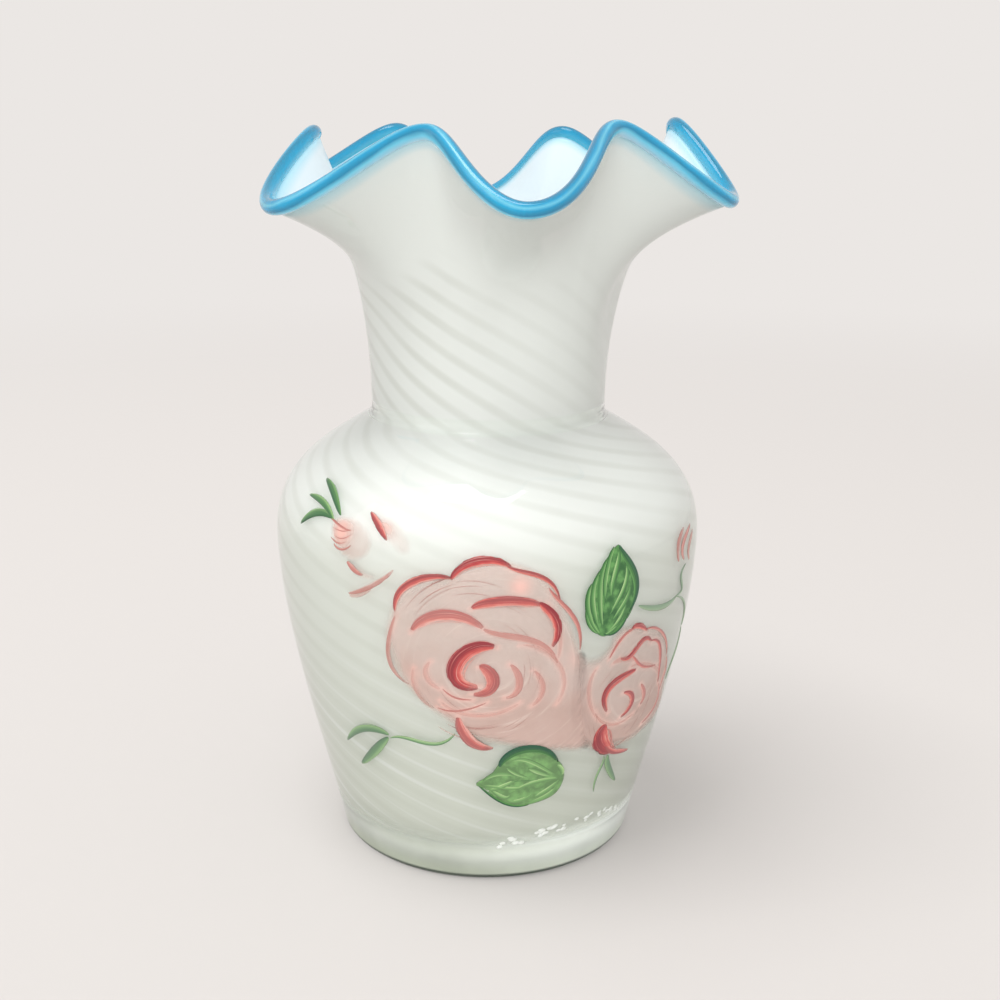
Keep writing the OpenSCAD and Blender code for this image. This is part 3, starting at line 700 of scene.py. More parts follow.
def opal_glass(colours):
    """Opal glass: white where it is thick, grey along the spiral between the ribs, and darker
    below the shoulder with painted shade.
    """
    f = Finish("opal_glass")
    place, share = f.place(), f.attribute("share")
    side, _, height = f.split(place)
    low, neck = f.swing(height, *OPAL_LOW), f.swing(height, *OPAL_NECK)
    x, y, z = f.split(f.attribute("untwisted", "Vector"))
    wave = f.maths("COSINE", f.maths("ARCTAN2", x, -y) * (360 / RIB_PITCH))
    wander = (f.noise(f.join(x, y, z * LINE_STRETCH), *LINE_NOISE) - 0.5) * LINE_WANDER
    line = f.swing(wander - wave, *LINE_RANGE) * f.swing(share, *LINES_END)
    line *= 1.0 - neck * f.swing(side, *NECK_LINES_FADE) * NECK_LINE_LOSS
    line *= f.swing(f.noise(place, *FADE_NOISE), *LINE_FADE)
    cloud = f.noise(place, *CLOUD_NOISE) - 0.5
    thin = line * (neck * NECK_LINE_GREY + LINE_GREY) + cloud * CLOUD_GREY + neck * NECK_GREY
    shade = f.blend(f.limit(thin), colours.opal, colours.opal_thin)
    # Painted shade: the glass darkens from the shoulder down to the belly, added to the foot's
    # grey-green tone
    tone = f.swing(height, *OPAL_SHADE_BELOW_SHOULDER) * BELLY_PAINTED_SHADE + low * LOW_TONE
    shade = f.blend(tone, shade, colours.opal_low)
    streak = f.swing(wave + wander, *STREAK_RANGE) * low
    streak *= f.swing(side, *STREAKS_FADE, STREAK_RIGHT, 1.0)
    shade = f.blend(streak * STREAK_WHITE, shade, colours.opal)
    inside = f.attribute("ribbed") * f.swing(height, *OPAL_INSIDE)
    shade = f.blend(inside, shade, colours.inner)
    shade = f.blend(f.swing(share, *RIM_BLUE_START) * RIM_BLUE, shade, colours.pale_blue)
    return f.done(f.surface(Base_Color=shade, Roughness=0.25))


# The haze in the foot: the height at which it has thinned away, the heights over which it
# turns white, those over which it darkens into a painted contact shadow where it meets the table,
# and the places from left to right over which its painted glow brightens
HAZE_TOP = 15 * MM
HAZE_WHITENS = (1 * MM, 8 * MM)
PAINTED_CONTACT_SHADOW = (2 * MM, 1.1 * MM)
PAINTED_GLOW_SIDES = (-12 * MM, 30 * MM)

# How dense the haze is, how much its clouds and the painted contact shadow add, the light left in
# that shadow and in the dim left side of the painted glow, and the strength of the haze's painted
# glow
HAZE_DENSITY = 0.4
HAZE_CLOUDS = 0.3
CONTACT_SHADOW_DENSITY = 0.4
CONTACT_SHADOW_LIGHT = 0.2
PAINTED_GLOW_DIM_SIDE = 0.4
HAZE_PAINTED_GLOW = 0.38
HAZE_NOISE = (60.0, 3.0)


def cloudy_glass(colours):
    """The haze in the thick glass of the foot, green in its depth, with a painted glow that
    brightens to the right and a painted contact shadow at its lower edge.
    """
    f = Finish("cloudy_glass")
    side, _, height = f.split(f.place())
    # Painted contact shadow: a dark line at the haze's lowest edge, where the foot stands on the
    # table
    line = f.swing(height, *PAINTED_CONTACT_SHADOW)
    dark = dimmed(colours.stem, CONTACT_SHADOW_LIGHT)
    shade = f.blend(f.swing(height, *HAZE_WHITENS), colours.foot, colours.opal)
    shade = f.blend(line, shade, dark)
    # Painted glow: the haze's emission stands in for light in the foot, dim at the left and bright
    # at the right
    glow = f.blend(f.swing(side, *PAINTED_GLOW_SIDES), dimmed(colours.foot, PAINTED_GLOW_DIM_SIDE),
                   colours.opal)
    glow = f.blend(line, glow, dark)
    alpha = f.noise(f.place(), *HAZE_NOISE) * HAZE_CLOUDS + HAZE_DENSITY
    alpha = alpha * f.swing(height, HAZE_TOP, HAZE_TOP / 2) + line * CONTACT_SHADOW_DENSITY
    return f.done(f.surface(Base_Color=shade, Roughness=0.5, Alpha=f.limit(alpha),
                            Emission_Color=glow, Emission_Strength=HAZE_PAINTED_GLOW))


# Painted glow of the bubbles, which stands in for their glints
BUBBLE_PAINTED_GLOW = 0.22
BUBBLE_NOISE = (700.0, 2.0)


def bubble_finish(colours):
    """The bubbles' white, with a painted glow that stands in for their glints."""
    f = Finish("bubble_shine")
    shade = f.blend(f.noise(f.place(), *BUBBLE_NOISE), colours.opal, colours.opal_thin)
    return f.done(f.surface(Base_Color=shade, Roughness=0.15, Coat_Weight=0.5,
                            Emission_Color=shade, Emission_Strength=BUBBLE_PAINTED_GLOW))


# Degrees of the thread's section over which its colours run, the light left in its bands of
# painted shade, and how its streaks run: across, round the rim, and how far they move the colours
SECTION_SPAN = 320.0
PAINTED_SHADE_BLUE = 0.6
STREAK_ACROSS = 0.012
STREAK_AROUND = 14.0
STREAK_MOVES = 0.16


def blue_glass(colours):
    """The blue glass of the thread: a painted highlight along its pale crown between bands of
    painted shade, paler below.
    """
    f = Finish("blue_glass")
    section = f.attribute("section")
    streak = f.noise(f.join(section * STREAK_ACROSS, f.attribute("around") * STREAK_AROUND, 0.0))
    side = section / SECTION_SPAN + 0.5 + (streak - 0.5) * STREAK_MOVES
    blue, pale, shaded_blue = colours.blue, colours.pale_blue, dimmed(colours.blue, PAINTED_SHADE_BLUE)
    # Painted highlight: the pale stop at 0.52 along the crown. Painted shade: the dimmed stops at
    # 0.36 and 0.68 beside it
    shade = f.ramp(side, (0.0, pale), (0.2, blue), (0.36, shaded_blue), (0.45, blue), (0.52, pale),
                   (0.58, blue), (0.68, shaded_blue), (0.77, pale), (1.0, colours.inner))
    shader = f.surface(Base_Color=shade, Roughness=0.06, IOR=GLASS_IOR, Transmission_Weight=0.35,
                       Coat_Weight=0.5, Coat_Roughness=0.02)
    return f.done(shader, lets_lamps_through=True)


# Depth of the brush's hairs and of the coat's mottling in the fired enamel
HAIR_DEPTH = 0.03 * MM
MOTTLE_DEPTH = 0.08 * MM

# Grain of a stroke's noises along it, across it and from stroke to stroke, and their detail
PETAL_HAIRS = (1.5, 6.0, 31.0, 3.0)
PETAL_BRISTLES = (1.2, 13.0, 19.0, 2.0)
PETAL_TEARS = (9.0, 1.5, 7.0, 3.0)
GREEN_HAIRS = (1.2, 5.0, 17.0, 3.0)
GREEN_BRISTLES = (1.2, 12.0, 23.0, 2.0)

# How far the brush's hairs and its torn edge move the colours across a stroke
PETAL_HAIRS_MOVE = 1.5
PETAL_TEARS_MOVE = 0.5
GREEN_HAIRS_MOVE = 1.1

# Ranges over which a petal stroke fades: at its start and end, and at its pale and dark
# edges, with how far the torn edge moves two of them
PETAL_START = (0.0, 0.08)
PETAL_END = (1.0, 0.8)
PETAL_END_TEARS = 0.3
PETAL_PALE_EDGE = (0.02, 0.24)
PETAL_DARK_EDGE = (1.0, 0.85)
PETAL_DARK_EDGE_TEARS = 0.9

# What is left of a stroke at its ends, where the brush was dry, and at the palest tone. The
# last two are a range and what the stroke's strength runs between. A dark tone is less dry
PETAL_ENDS_LEFT = 0.5
PETAL_DRY = (0.3, 0.6, 0.65, 1.0)
PETAL_TONES = (0.0, 0.65, 0.25, 1.0)
PETAL_DRY_TONE = 0.4

# Streaks over an enamel: the range of the hairs' noise, how much they show, and their colour
PETAL_STREAKS = ((0.5, 0.66, 0.5, "coral"), (0.46, 0.3, 0.45, "red"), (0.6, 0.75, 0.5, "cream"))
GREEN_STREAKS = ((0.5, 0.7, 0.45, "leaf"), (0.45, 0.3, 0.5, "dark_leaf"))


def petal_enamel(name, colours):
    """Enamel from a brush loaded with two colours, dark on one edge and pale on the other."""
    f = Finish(name)
    along, across, tone = (f.attribute(part) for part in ("along", "across", "tone"))
    hair, bristle = f.hairs(*PETAL_HAIRS), f.hairs(*PETAL_BRISTLES)
    tear = f.hairs(*PETAL_TEARS) - 0.5
    reach = (across + (hair - 0.5) * PETAL_HAIRS_MOVE + tear * PETAL_TEARS_MOVE) / 2 + 0.5
    faint = f.ramp(reach, (0.0, colours.cream), (0.4, colours.blush), (0.8, colours.petal),
                   (1.0, colours.blush))
    strong = f.ramp(reach, (0.06, colours.blush), (0.18, colours.petal), (0.32, colours.coral),
                    (0.48, colours.red), (0.68, colours.maroon), (0.95, colours.maroon),
                    (1.0, colours.coral))
    shade = f.streaked(f.blend(tone, faint, strong), bristle, colours, PETAL_STREAKS)
    ends = f.swing(along, *PETAL_START) * f.swing(along + tear * PETAL_END_TEARS, *PETAL_END)
    edges = f.swing(reach, *PETAL_PALE_EDGE)
    edges *= f.swing(across + tear * PETAL_DARK_EDGE_TEARS, *PETAL_DARK_EDGE)
    alpha = edges * (ends * (1 - PETAL_ENDS_LEFT) + PETAL_ENDS_LEFT)
    alpha *= f.swing(tone, *PETAL_TONES)
    alpha *= f.limit(f.swing(hair, *PETAL_DRY) + tone * PETAL_DRY_TONE)
    shader = f.surface(Base_Color=shade, Roughness=0.28, Alpha=alpha, Coat_Weight=0.3,
                       Normal=f.bump(bristle + hair * 0.5, HAIR_DEPTH))
    return f.done(shader, lets_lamps_through=True)


# A wash's hairs: how close they lie round the middle of the rose, how fast they change on
# the way round, their detail, and the range of their noise that shows cream
WASH_HAIRS_OUT = 900.0
WASH_HAIRS_ROUND = 60.0
WASH_HAIRS_DETAIL = 3.0
WASH_HAIR_RANGE = (0.55, 0.8)
WASH_NOISE = (90.0, 3.0)

# Shares of a rose's height over which its wash turns pink, how much of the pink, of the
# hairs' cream and of the halo's pink shows, and the range of its fading edge
WASH_PINK_RANGE = (0.2, -0.35)
WASH_PINK = 0.6
WASH_CREAM = 0.5
WASH_HALO = 0.4
WASH_EDGE = (0.05, 0.9)

# How dense a wash is, and what clouds, pink and halo add to that
WASH_DENSITY = 0.2
WASH_CLOUDS = 0.5
WASH_PINK_DENSITY = 0.25
WASH_HALO_DENSITY = 0.3


def wash_enamel(name, colours, strength=1.0):
    """A thin wash, with the brush's hairs, soft edges and a pink halo beside each stroke."""
    f = Finish(name)
    halo, cloud = f.attribute("halo"), f.noise(f.place(), *WASH_NOISE)
    x, y, _ = f.split(f.attribute("flat", "Vector"))
    out = f.maths("SQRT", x * x + y * y)
    hair = f.noise(f.join(out * WASH_HAIRS_OUT, x * WASH_HAIRS_ROUND, y * WASH_HAIRS_ROUND),
                   detail=WASH_HAIRS_DETAIL)
    pink = f.swing(f.attribute("along") + (cloud - 0.5), *WASH_PINK_RANGE)
    shade = f.blend(pink * WASH_PINK, colours.wash, colours.blush)
    shade = f.blend(f.swing(hair, *WASH_HAIR_RANGE) * WASH_CREAM, shade, colours.cream)
    shade = f.blend(halo * WASH_HALO, shade, colours.glow)
    body = (cloud * WASH_CLOUDS + pink * WASH_PINK_DENSITY + WASH_DENSITY) * strength
    body = f.limit(body + halo * WASH_HALO_DENSITY)
    alpha = f.swing(f.attribute("inset") * (hair + 0.5), *WASH_EDGE) * body
    return f.done(f.surface(Base_Color=shade, Roughness=0.4, Alpha=alpha),
                  lets_lamps_through=True)


# Noise of a leaf's coat, the range of it over which the coat is mottled, and the range of
# the coat's fading edge
LEAF_NOISE = (420.0, 3.0)
LEAF_MOTTLE = (0.35, 0.7)
LEAF_EDGE = (0.0, 0.35)


def leaf_enamel(name, colours, pale):
    """The dark green under a leaf's strokes, mottled where the brush pressed."""
    f = Finish(name)
    cloud = f.noise(f.place(), *LEAF_NOISE)
    shade = f.blend(f.swing(cloud, *LEAF_MOTTLE), colours.leaf_shade, colours.leaf)
    shade = f.blend(pale, shade, colours.leaf_light)
    shader = f.surface(Base_Color=shade, Roughness=0.3, Coat_Weight=0.3,
                       Alpha=f.swing(f.attribute("inset"), *LEAF_EDGE),
                       Normal=f.bump(cloud, MOTTLE_DEPTH))
    return f.done(shader, lets_lamps_through=True)


# Ranges over which a green stroke fades: at its pale and dark edges and at its end, with
# what is left there
GREEN_PALE_EDGE = (0.0, 0.12)
GREEN_DARK_EDGE = (1.0, 0.9)
GREEN_END = (1.0, 0.85, 0.6, 1.0)


def green_enamel(name, colours, grey=0.0, pale=0.0):
    """Green from a brush loaded with two greens, and thinned to a grey where it is a stem."""
    f = Finish(name)
    along, across, tone = (f.attribute(part) for part in ("along", "across", "tone"))
    hair, bristle = f.hairs(*GREEN_HAIRS), f.hairs(*GREEN_BRISTLES)
    reach = (across + (hair - 0.5) * GREEN_HAIRS_MOVE) / 2 + 0.5
    light = f.ramp(reach, (0.15, colours.leaf_light), (0.5, colours.leaf),
                   (0.85, colours.leaf_shade))
    dark = f.ramp(reach, (0.1, colours.leaf), (0.35, colours.leaf_shade),
                  (0.6, colours.dark_leaf))
    shade = f.streaked(f.blend(tone, light, dark), bristle, colours, GREEN_STREAKS)
    shade = f.blend(pale, shade, colours.leaf_light)
    shade = f.blend(grey, shade, colours.stem)
    alpha = f.swing(reach, *GREEN_PALE_EDGE) * f.swing(across, *GREEN_DARK_EDGE)
    alpha *= f.swing(along, *GREEN_END)
    shader = f.surface(Base_Color=shade, Roughness=0.3, Alpha=alpha, Coat_Weight=0.3,
                       Normal=f.bump(hair, HAIR_DEPTH))
    return f.done(shader, lets_lamps_through=True)


# Enamel shapes -------------------------------------------------------------------------

# The tables below give the motifs' forms in shares of the motif's size, from its middle.
# An outline is points of a smooth closed line. A stroke is a curve's four points, the width
# as a share of the brush's, 1 if the darker edge is on the curve's left and -1 if on its
# right, and its tone, from 0 for the palest colour on the brush to 1 for the darkest.

ROSE_OUTLINE = (
    (-0.5, 0.25), (-0.47, 0.31), (-0.42, 0.38), (-0.32, 0.43), (-0.21, 0.44), (-0.17, 0.48),
    (-0.08, 0.51), (0.03, 0.52), (0.13, 0.5), (0.23, 0.45), (0.3, 0.38), (0.36, 0.28),
    (0.41, 0.16), (0.45, 0.03), (0.48, -0.16), (0.51, -0.39), (0.48, -0.5), (0.35, -0.49),
    (0.19, -0.45), (0.04, -0.42), (-0.08, -0.39), (-0.19, -0.32), (-0.3, -0.25), (-0.4, -0.16),
    (-0.47, -0.07), (-0.51, 0.04), (-0.53, 0.14))
ROSE_PETALS = (
    ((-0.386, 0.154), (-0.316, 0.262), (-0.153, 0.284), (-0.037, 0.187), 1.75, 1, 0.6),
    ((-0.051, 0.197), (0.019, 0.131), (0.257, 0.186), (0.316, -0.01), 1, 1, 0.3),
    ((-0.457, 0.231), (-0.503, 0.098), (-0.538, -0.046), (-0.4, -0.112), 0.6, -1, 0.3),
    ((0.079, 0.019), (0.143, -0.024), (0.153, -0.148), (0.058, -0.152), 1.1, 1, 0.3),
    ((-0.24, -0.112), (-0.198, -0.16), (-0.155, -0.168), (-0.091, -0.163), 0.32, 1, 0.5),
    ((-0.265, -0.215), (-0.197, -0.246), (-0.114, -0.223), (-0.019, -0.174), 0.32, 1, 0.45),
    ((0.194, -0.018), (0.251, -0.068), (0.265, -0.156), (0.19, -0.204), 0.9, 1, 0.2),
    ((-0.292, 0.021), (-0.348, -0.04), (-0.297, -0.097), (-0.245, -0.118), 0.8, -1, 0.08),
    ((-0.374, -0.019), (-0.394, -0.093), (-0.355, -0.19), (-0.279, -0.222), 0.6, -1, 0.1),
    ((0.261, 0.373), (0.305, 0.289), (0.437, 0.234), (0.422, 0.056), 0.6, 1, 0.6),
    ((0.253, 0.304), (0.306, 0.233), (0.341, 0.114), (0.31, 0.022), 0.6, 1, 0.06),
    ((-0.25, -0.176), (-0.179, -0.265), (0.023, -0.269), (0.136, -0.179), 0.6, -1, 0.1),
    ((0.129, 0.111), (0.277, 0.105), (0.413, -0.069), (0.313, -0.208), 0.7, 1, 0.08))
ROSE_SHADING = (
    ((-0.461, 0.24), (-0.473, 0.378), (-0.303, 0.445), (-0.187, 0.419), 0.95, 1, 0.9),
    ((-0.196, 0.414), (-0.157, 0.494), (-0.008, 0.531), (0.086, 0.47), 1.2, 1, 1),
    ((0.058, 0.479), (0.142, 0.431), (0.289, 0.456), (0.316, 0.299), 0.6, 1, 0.9),
    ((-0.103, 0.285), (-0.047, 0.328), (0.147, 0.33), (0.234, 0.292), 1.5, 1, 0.85),
    ((0.21, 0.312), (0.267, 0.265), (0.349, 0.191), (0.278, 0.085), 1.35, 1, 1),
    ((0.02, 0.102), (-0.156, 0.148), (-0.272, -0.12), (-0.053, -0.094), 2.4, -1, 1),
    ((-0.068, 0.005), (-0.005, 0.014), (0.058, -0.135), (-0.101, -0.134), 1.9, 1, 0.75),
    ((-0.163, -0.254), (-0.15, -0.335), (-0.108, -0.422), (0.009, -0.424), 1.55, -1, 0.75))
SMALL_OUTLINE = (
    (-0.69, 0.34), (-0.56, 0.29), (-0.48, 0.33), (-0.45, 0.4), (-0.34, 0.46), (-0.13, 0.43),
    (0.12, 0.34), (0.29, 0.21), (0.45, 0), (0.52, -0.19), (0.59, -0.36), (0.5, -0.45),
    (0.26, -0.47), (0.05, -0.49), (-0.18, -0.47), (-0.41, -0.43), (-0.55, -0.32),
    (-0.65, -0.11), (-0.68, 0.08), (-0.7, 0.23))
SMALL_PETALS = (
    ((-0.43, 0.24), (-0.38, 0.34), (-0.33, 0.41), (-0.2, 0.41), 0.55, 1, 0.6),
    ((-0.1, 0.37), (0.04, 0.39), (0.28, 0.24), (0.33, 0.07), 0.5, 1, 0.6),
    ((0.33, 0.07), (0.45, -0.08), (0.33, -0.08), (0.37, -0.2), 0.45, 1, 0.5),
    ((-0.02, -0.03), (0.05, -0.09), (0.11, -0.17), (0.04, -0.2), 1, 1, 0.5),
    ((0.29, -0.11), (0.47, -0.32), (0.33, -0.34), (0.14, -0.38), 0.6, 1, 0.6),
    ((-0.46, -0.12), (-0.36, -0.27), (-0.18, -0.3), (-0.02, -0.24), 0.5, -1, 0.15),
    ((-0.39, 0.2), (-0.33, 0.23), (-0.23, 0.21), (-0.17, 0.17), 0.9, 1, 0.1),
    ((-0.52, 0.2), (-0.59, 0.12), (-0.55, -0.05), (-0.42, -0.18), 0.6, -1, 0.1),
    ((-0.2, 0.13), (-0.12, 0.18), (0.28, 0.01), (0.24, -0.05), 0.6, 1, 0.1))
SMALL_SHADING = (
    ((-0.11, 0.1), (-0.26, 0.09), (-0.51, 0.06), (-0.33, -0.16), 1.35, -1, 1),
    ((-0.22, -0.04), (-0.05, -0.07), (-0.05, -0.19), (-0.19, -0.23), 1.15, 1, 0.9),
    ((-0.33, 0.23), (-0.16, 0.13), (-0.16, 0.41), (0.02, 0.26), 1, 1, 0.95),
    ((-0.01, 0.27), (0.2, 0.28), (0.21, 0.02), (0.28, -0.12), 0.65, 1, 0.85),
    ((-0.23, 0.23), (-0.11, 0.17), (-0.12, 0.08), (0.17, 0.06), 0.5, 1, 0.7),
    ((-0.25, 0.41), (-0.21, 0.44), (-0.15, 0.41), (-0.07, 0.36), 0.85, 1, 0.9))
SEPALS = (
    ((0.07, -0.47), (0.15, -0.82), (-0.14, -0.95), (0.03, -1.57), 0.35, 1, 0.3),
    ((0.22, -0.49), (0.15, -0.68), (0.47, -1.13), (0.84, -1.51), 0.95, 1, 0.5))
UPPER_LEAF = (
    (0.12, 0.48), (0.29, 0.35), (0.48, 0.13), (0.52, -0.06), (0.47, -0.25), (0.24, -0.44),
    (-0.11, -0.5), (-0.35, -0.37), (-0.48, -0.18), (-0.48, 0), (-0.33, 0.2), (-0.14, 0.34))
UPPER_RIDGES = (
    ((-0.18, -0.46), (-0.44, -0.29), (-0.54, -0.03), (-0.4, 0.12), 0.8, 1, 0),
    ((-0.16, -0.45), (-0.39, -0.17), (-0.47, 0.03), (-0.26, 0.24), 0.85, 1, 0),
    ((-0.13, -0.41), (-0.25, -0.17), (-0.35, 0.2), (-0.08, 0.37), 0.85, 1, 0),
    ((-0.1, -0.15), (-0.23, 0.08), (-0.14, 0.3), (0.04, 0.46), 0.85, 1, 0),
    ((-0.03, -0.1), (-0.07, 0.14), (0.12, 0.27), (0.12, 0.46), 1, -1, 0),
    ((-0.06, -0.26), (0.14, -0.11), (0.38, 0.11), (0.22, 0.3), 0.8, -1, 0),
    ((-0.02, -0.36), (0.14, -0.22), (0.4, -0.12), (0.33, 0.08), 0.8, -1, 0),
    ((-0.1, -0.46), (0.15, -0.4), (0.26, -0.28), (0.29, -0.15), 0.7, -1, 0),
    ((-0.12, -0.47), (0, -0.48), (0.18, -0.38), (0.24, -0.31), 0.55, -1, 0),
    ((-0.22, -0.45), (-0.44, -0.36), (-0.49, -0.2), (-0.46, -0.09), 0.55, 1, 0))
UPPER_EDGE = (
    ((0.12, 0.47), (0.23, 0.29), (0.77, 0.03), (0.32, -0.31), 1.15, 1, 1),
    ((-0.11, -0.44), (-0.27, -0.17), (-0.03, 0.21), (0.09, 0.44), 0.28, 1, 1),
    ((-0.14, -0.45), (0.1, -0.55), (0.29, -0.41), (0.36, -0.27), 0.4, -1, 1))
LOWER_LEAF = (
    (-0.48, -0.08), (-0.33, 0.13), (-0.21, 0.41), (0.01, 0.57), (0.27, 0.46), (0.45, 0.2),
    (0.49, -0.11), (0.4, -0.42), (0.16, -0.56), (-0.05, -0.56), (-0.24, -0.4), (-0.37, -0.2))
LOWER_RIDGES = (
    ((0.41, -0.04), (0.27, 0.08), (-0.02, 0.66), (-0.17, 0.27), 0.8, -1, 0),
    ((0.1, 0), (-0.04, 0.08), (-0.12, 0.19), (-0.18, 0.27), 0.6, -1, 0),
    ((0.34, -0.02), (0.2, 0.08), (0.12, 0.2), (0.06, 0.2), 0.8, -1, 0),
    ((-0.05, 0.03), (-0.18, 0.17), (-0.28, 0.18), (-0.41, -0.04), 0.8, -1, 0),
    ((0.44, -0.07), (0.29, -0.04), (0.06, -0.04), (-0.13, -0.3), 0.75, 1, 0),
    ((0.43, -0.09), (0.35, -0.26), (0.25, -0.33), (0.14, -0.41), 0.7, 1, 0),
    ((0.42, -0.17), (0.37, -0.4), (0.22, -0.49), (0.04, -0.52), 0.85, 1, 0),
    ((-0.04, 0.01), (-0.16, -0.08), (-0.26, -0.21), (-0.35, -0.18), 0.8, 1, 0),
    ((-0.1, -0.28), (-0.14, -0.48), (-0.24, -0.26), (-0.31, -0.2), 0.7, 1, 0),
    ((0.16, -0.28), (0.06, -0.44), (-0.06, -0.51), (-0.15, -0.4), 0.75, 1, 0),
    ((0.45, -0.03), (0.48, 0.03), (0.43, 0.16), (0.38, 0.22), 0.7, 1, 0),
    ((0.07, -0.14), (-0.09, -0.23), (-0.15, -0.14), (-0.45, -0.08), 0.6, 1, 0))
LOWER_EDGE = (
    ((-0.23, 0.25), (-0.23, 0.57), (0.18, 0.85), (0.4, 0.26), 1.25, 1, 1),
    ((0.42, -0.06), (0.23, -0.06), (0.01, 0.01), (-0.45, -0.08), 0.26, 1, 1),
    ((-0.45, -0.1), (-0.29, -0.35), (-0.12, -0.65), (0.12, -0.55), 0.35, -1, 1))
UPPER_STEM = (
    ((-0.37, 0.06), (-0.19, -0.02), (0.04, -0.08), (0.23, -0.01), 0.77, 1, 0),
    ((0.21, -0.01), (0.55, -0.03), (0.08, 0.17), (0.38, 0.24), 0.59, 1, 0),
    ((0.22, -0.02), (0.45, -0.07), (0.69, -0.32), (0.58, -0.42), 0.37, 1, 0),
    ((0.58, -0.42), (0.78, -0.69), (0.42, -0.71), (0.44, -0.91), 0.42, 1, 0))
RIGHT_BUD = (
    ((-0.49, -0.39), (-0.72, -0.02), (-0.52, 0.27), (-0.1, 0.42), 0.9, 1, 0.35),
    ((-0.14, -0.43), (-0.58, -0.03), (-0.22, 0.16), (0.42, 0.39), 0.8, -1, 0.6),
    ((0.32, -0.57), (-0.12, -0.11), (0.34, -0.04), (0.57, 0.22), 0.7, -1, 0.4))
LOW_PETAL_WASH = (
    (-0.79, -0.24), (-0.54, -0.24), (-0.18, -0.35), (0.11, -0.42), (0.05, -0.61), (-0.3, -0.64),
    (-0.6, -0.52))
BUD_WASH = (
    (-0.01, 0.53), (0.38, 0.53), (0.79, 0.34), (1, 0.03), (0.92, -0.28), (0.56, -0.51),
    (0.14, -0.47), (-0.07, -0.31), (-0.28, -0.14), (-0.43, 0.12), (-0.44, 0.32), (-0.32, 0.46))
PETAL_WASH = (
    (-0.3, 0.94), (0, 0.93), (0.37, 0.89), (0.75, 0.67), (1, 0.37), (0.94, 0.11), (0.66, 0.08),
    (0.4, 0.28), (0.17, 0.45), (-0.05, 0.67))

# Middle, radius in mm and strength of the pink that gathers in spots of a wash
ROSE_SPOTS = ((0.125, 0.385, 2.4, 1.8), (0.43, 0.02, 3.2, 1), (-0.37, -0.05, 2, 0.6))
BUD_SPOTS = ((-0.02, 0.14, 2.9, 2.4),)
PETAL_SPOTS = ((0.16, 0.62, 2.4, 1.8),)
LEFT_BUD = (
    ((-0.49, 0.36), (-0.28, 0.33), (-0.11, 0.2), (0.3, 0.2), 0.32, 1, 0.5),
    ((-0.34, 0.18), (-0.09, 0.14), (0.08, 0.12), (0.29, 0.25), 0.25, -1, 0.45),
    ((-0.25, 0.03), (-0.07, -0.07), (0.14, -0.03), (0.32, 0.14), 0.25, -1, 0.4),
    ((-0.34, -0.05), (-0.18, -0.13), (-0.03, -0.2), (0.21, -0.05), 0.25, -1, 0.4),
    ((-0.2, -0.17), (-0.08, -0.31), (0.17, -0.31), (0.36, -0.11), 0.3, -1, 0.45))
LEFT_BUD_LEAVES = (
    ((-0.46, 0.37), (-0.88, 0.52), (-1.35, 0.36), (-1.67, -0.01), 0.95, 1, 0.6),
    ((-0.36, 0.32), (-0.68, 0.6), (-1.11, 0.72), (-1.67, 0.67), 0.75, 1, 0.5),
    ((-0.19, 0.48), (-0.52, 0.77), (-0.76, 0.96), (-1.32, 1.09), 0.85, 1, 0.8))
LOOSE_PETALS = (
    ((-0.3, 0.94), (-0.02, 0.77), (0.13, 0.62), (0.32, 0.4), 0.9, -1, 0.95),
    ((-0.76, -0.26), (-0.63, -0.34), (-0.51, -0.48), (-0.27, -0.51), 0.75, -1, 0.5),
    ((-0.75, -1.06), (-0.44, -0.99), (0.27, -0.62), (0.56, -0.26), 0.65, -1, 0.3),
    ((-0.72, -1.11), (-0.52, -1.07), (-0.23, -0.93), (-0.01, -0.74), 0.9, -1, 0.12))
LEFT_SPRIG = (
    ((-0.03, 0.01), (-0.14, 0.05), (-0.34, 0.06), (-0.54, -0.21), 1.1, 1, 0.5),
    ((-0.04, -0.02), (-0.16, -0.14), (-0.25, -0.27), (-0.4, -0.4), 1.25, -1, 0.5),
    ((-0.02, -0.02), (0.16, 0.1), (0.38, -0.13), (0.56, 0.12), 0.5, -1, 0.1))
LOWER_BUD = (
    ((-0.1, 0.52), (-0.4, 0.4), (-0.13, -0.13), (0.37, -0.39), 2.8, -1, 1),
    ((-0.1, 0.42), (0.12, 0.3), (0.22, -0.05), (0.22, -0.3), 0.45, -1, 0.45),
    ((-0.07, 0), (0.16, -0.37), (0.45, -0.49), (1.08, -0.63), 0.9, -1, 0.85))

# Middle, radii and turns of the thin arcs that the brush's hairs left round a rose's heart
ROSE_HAIRS = (
    ((-0.06, -0.02), (0.2, 0.37), (190, 340), 22),
    ((-0.1, 0.08), (0.26, 0.37), (55, 115), 7),
    ((-0.06, -0.02), (0.2, 0.36), (-20, 60), 6))
SMALL_HAIRS = (
    ((-0.16, -0.12), (0.2, 0.34), (180, 330), 14),
    ((-0.16, -0.12), (0.24, 0.36), (90, 150), 4))

# Ranges of such an arc's sweep in degrees, width as a share of the brush's, and tone
HAIR_SWEEPS = (20, 55)
HAIR_WIDTHS = (0.098, 0.224)
HAIR_TONES = (0.045, 0.225)

# Turn and share of the crease's height of each motif's middle
ROSE_PLACE = (2, 0.558)
UPPER_LEAF_PLACE = (32.5, 0.704)
UPPER_STEM_PLACE = (53, 0.64)
RIGHT_BUD_PLACE = (64, 0.75)
LEFT_BUD_PLACE = (-38.5, 0.802)
LOOSE_PETAL_PLACE = (-28, 0.78)
LEFT_SPRIG_PLACE = (-27, 0.365)

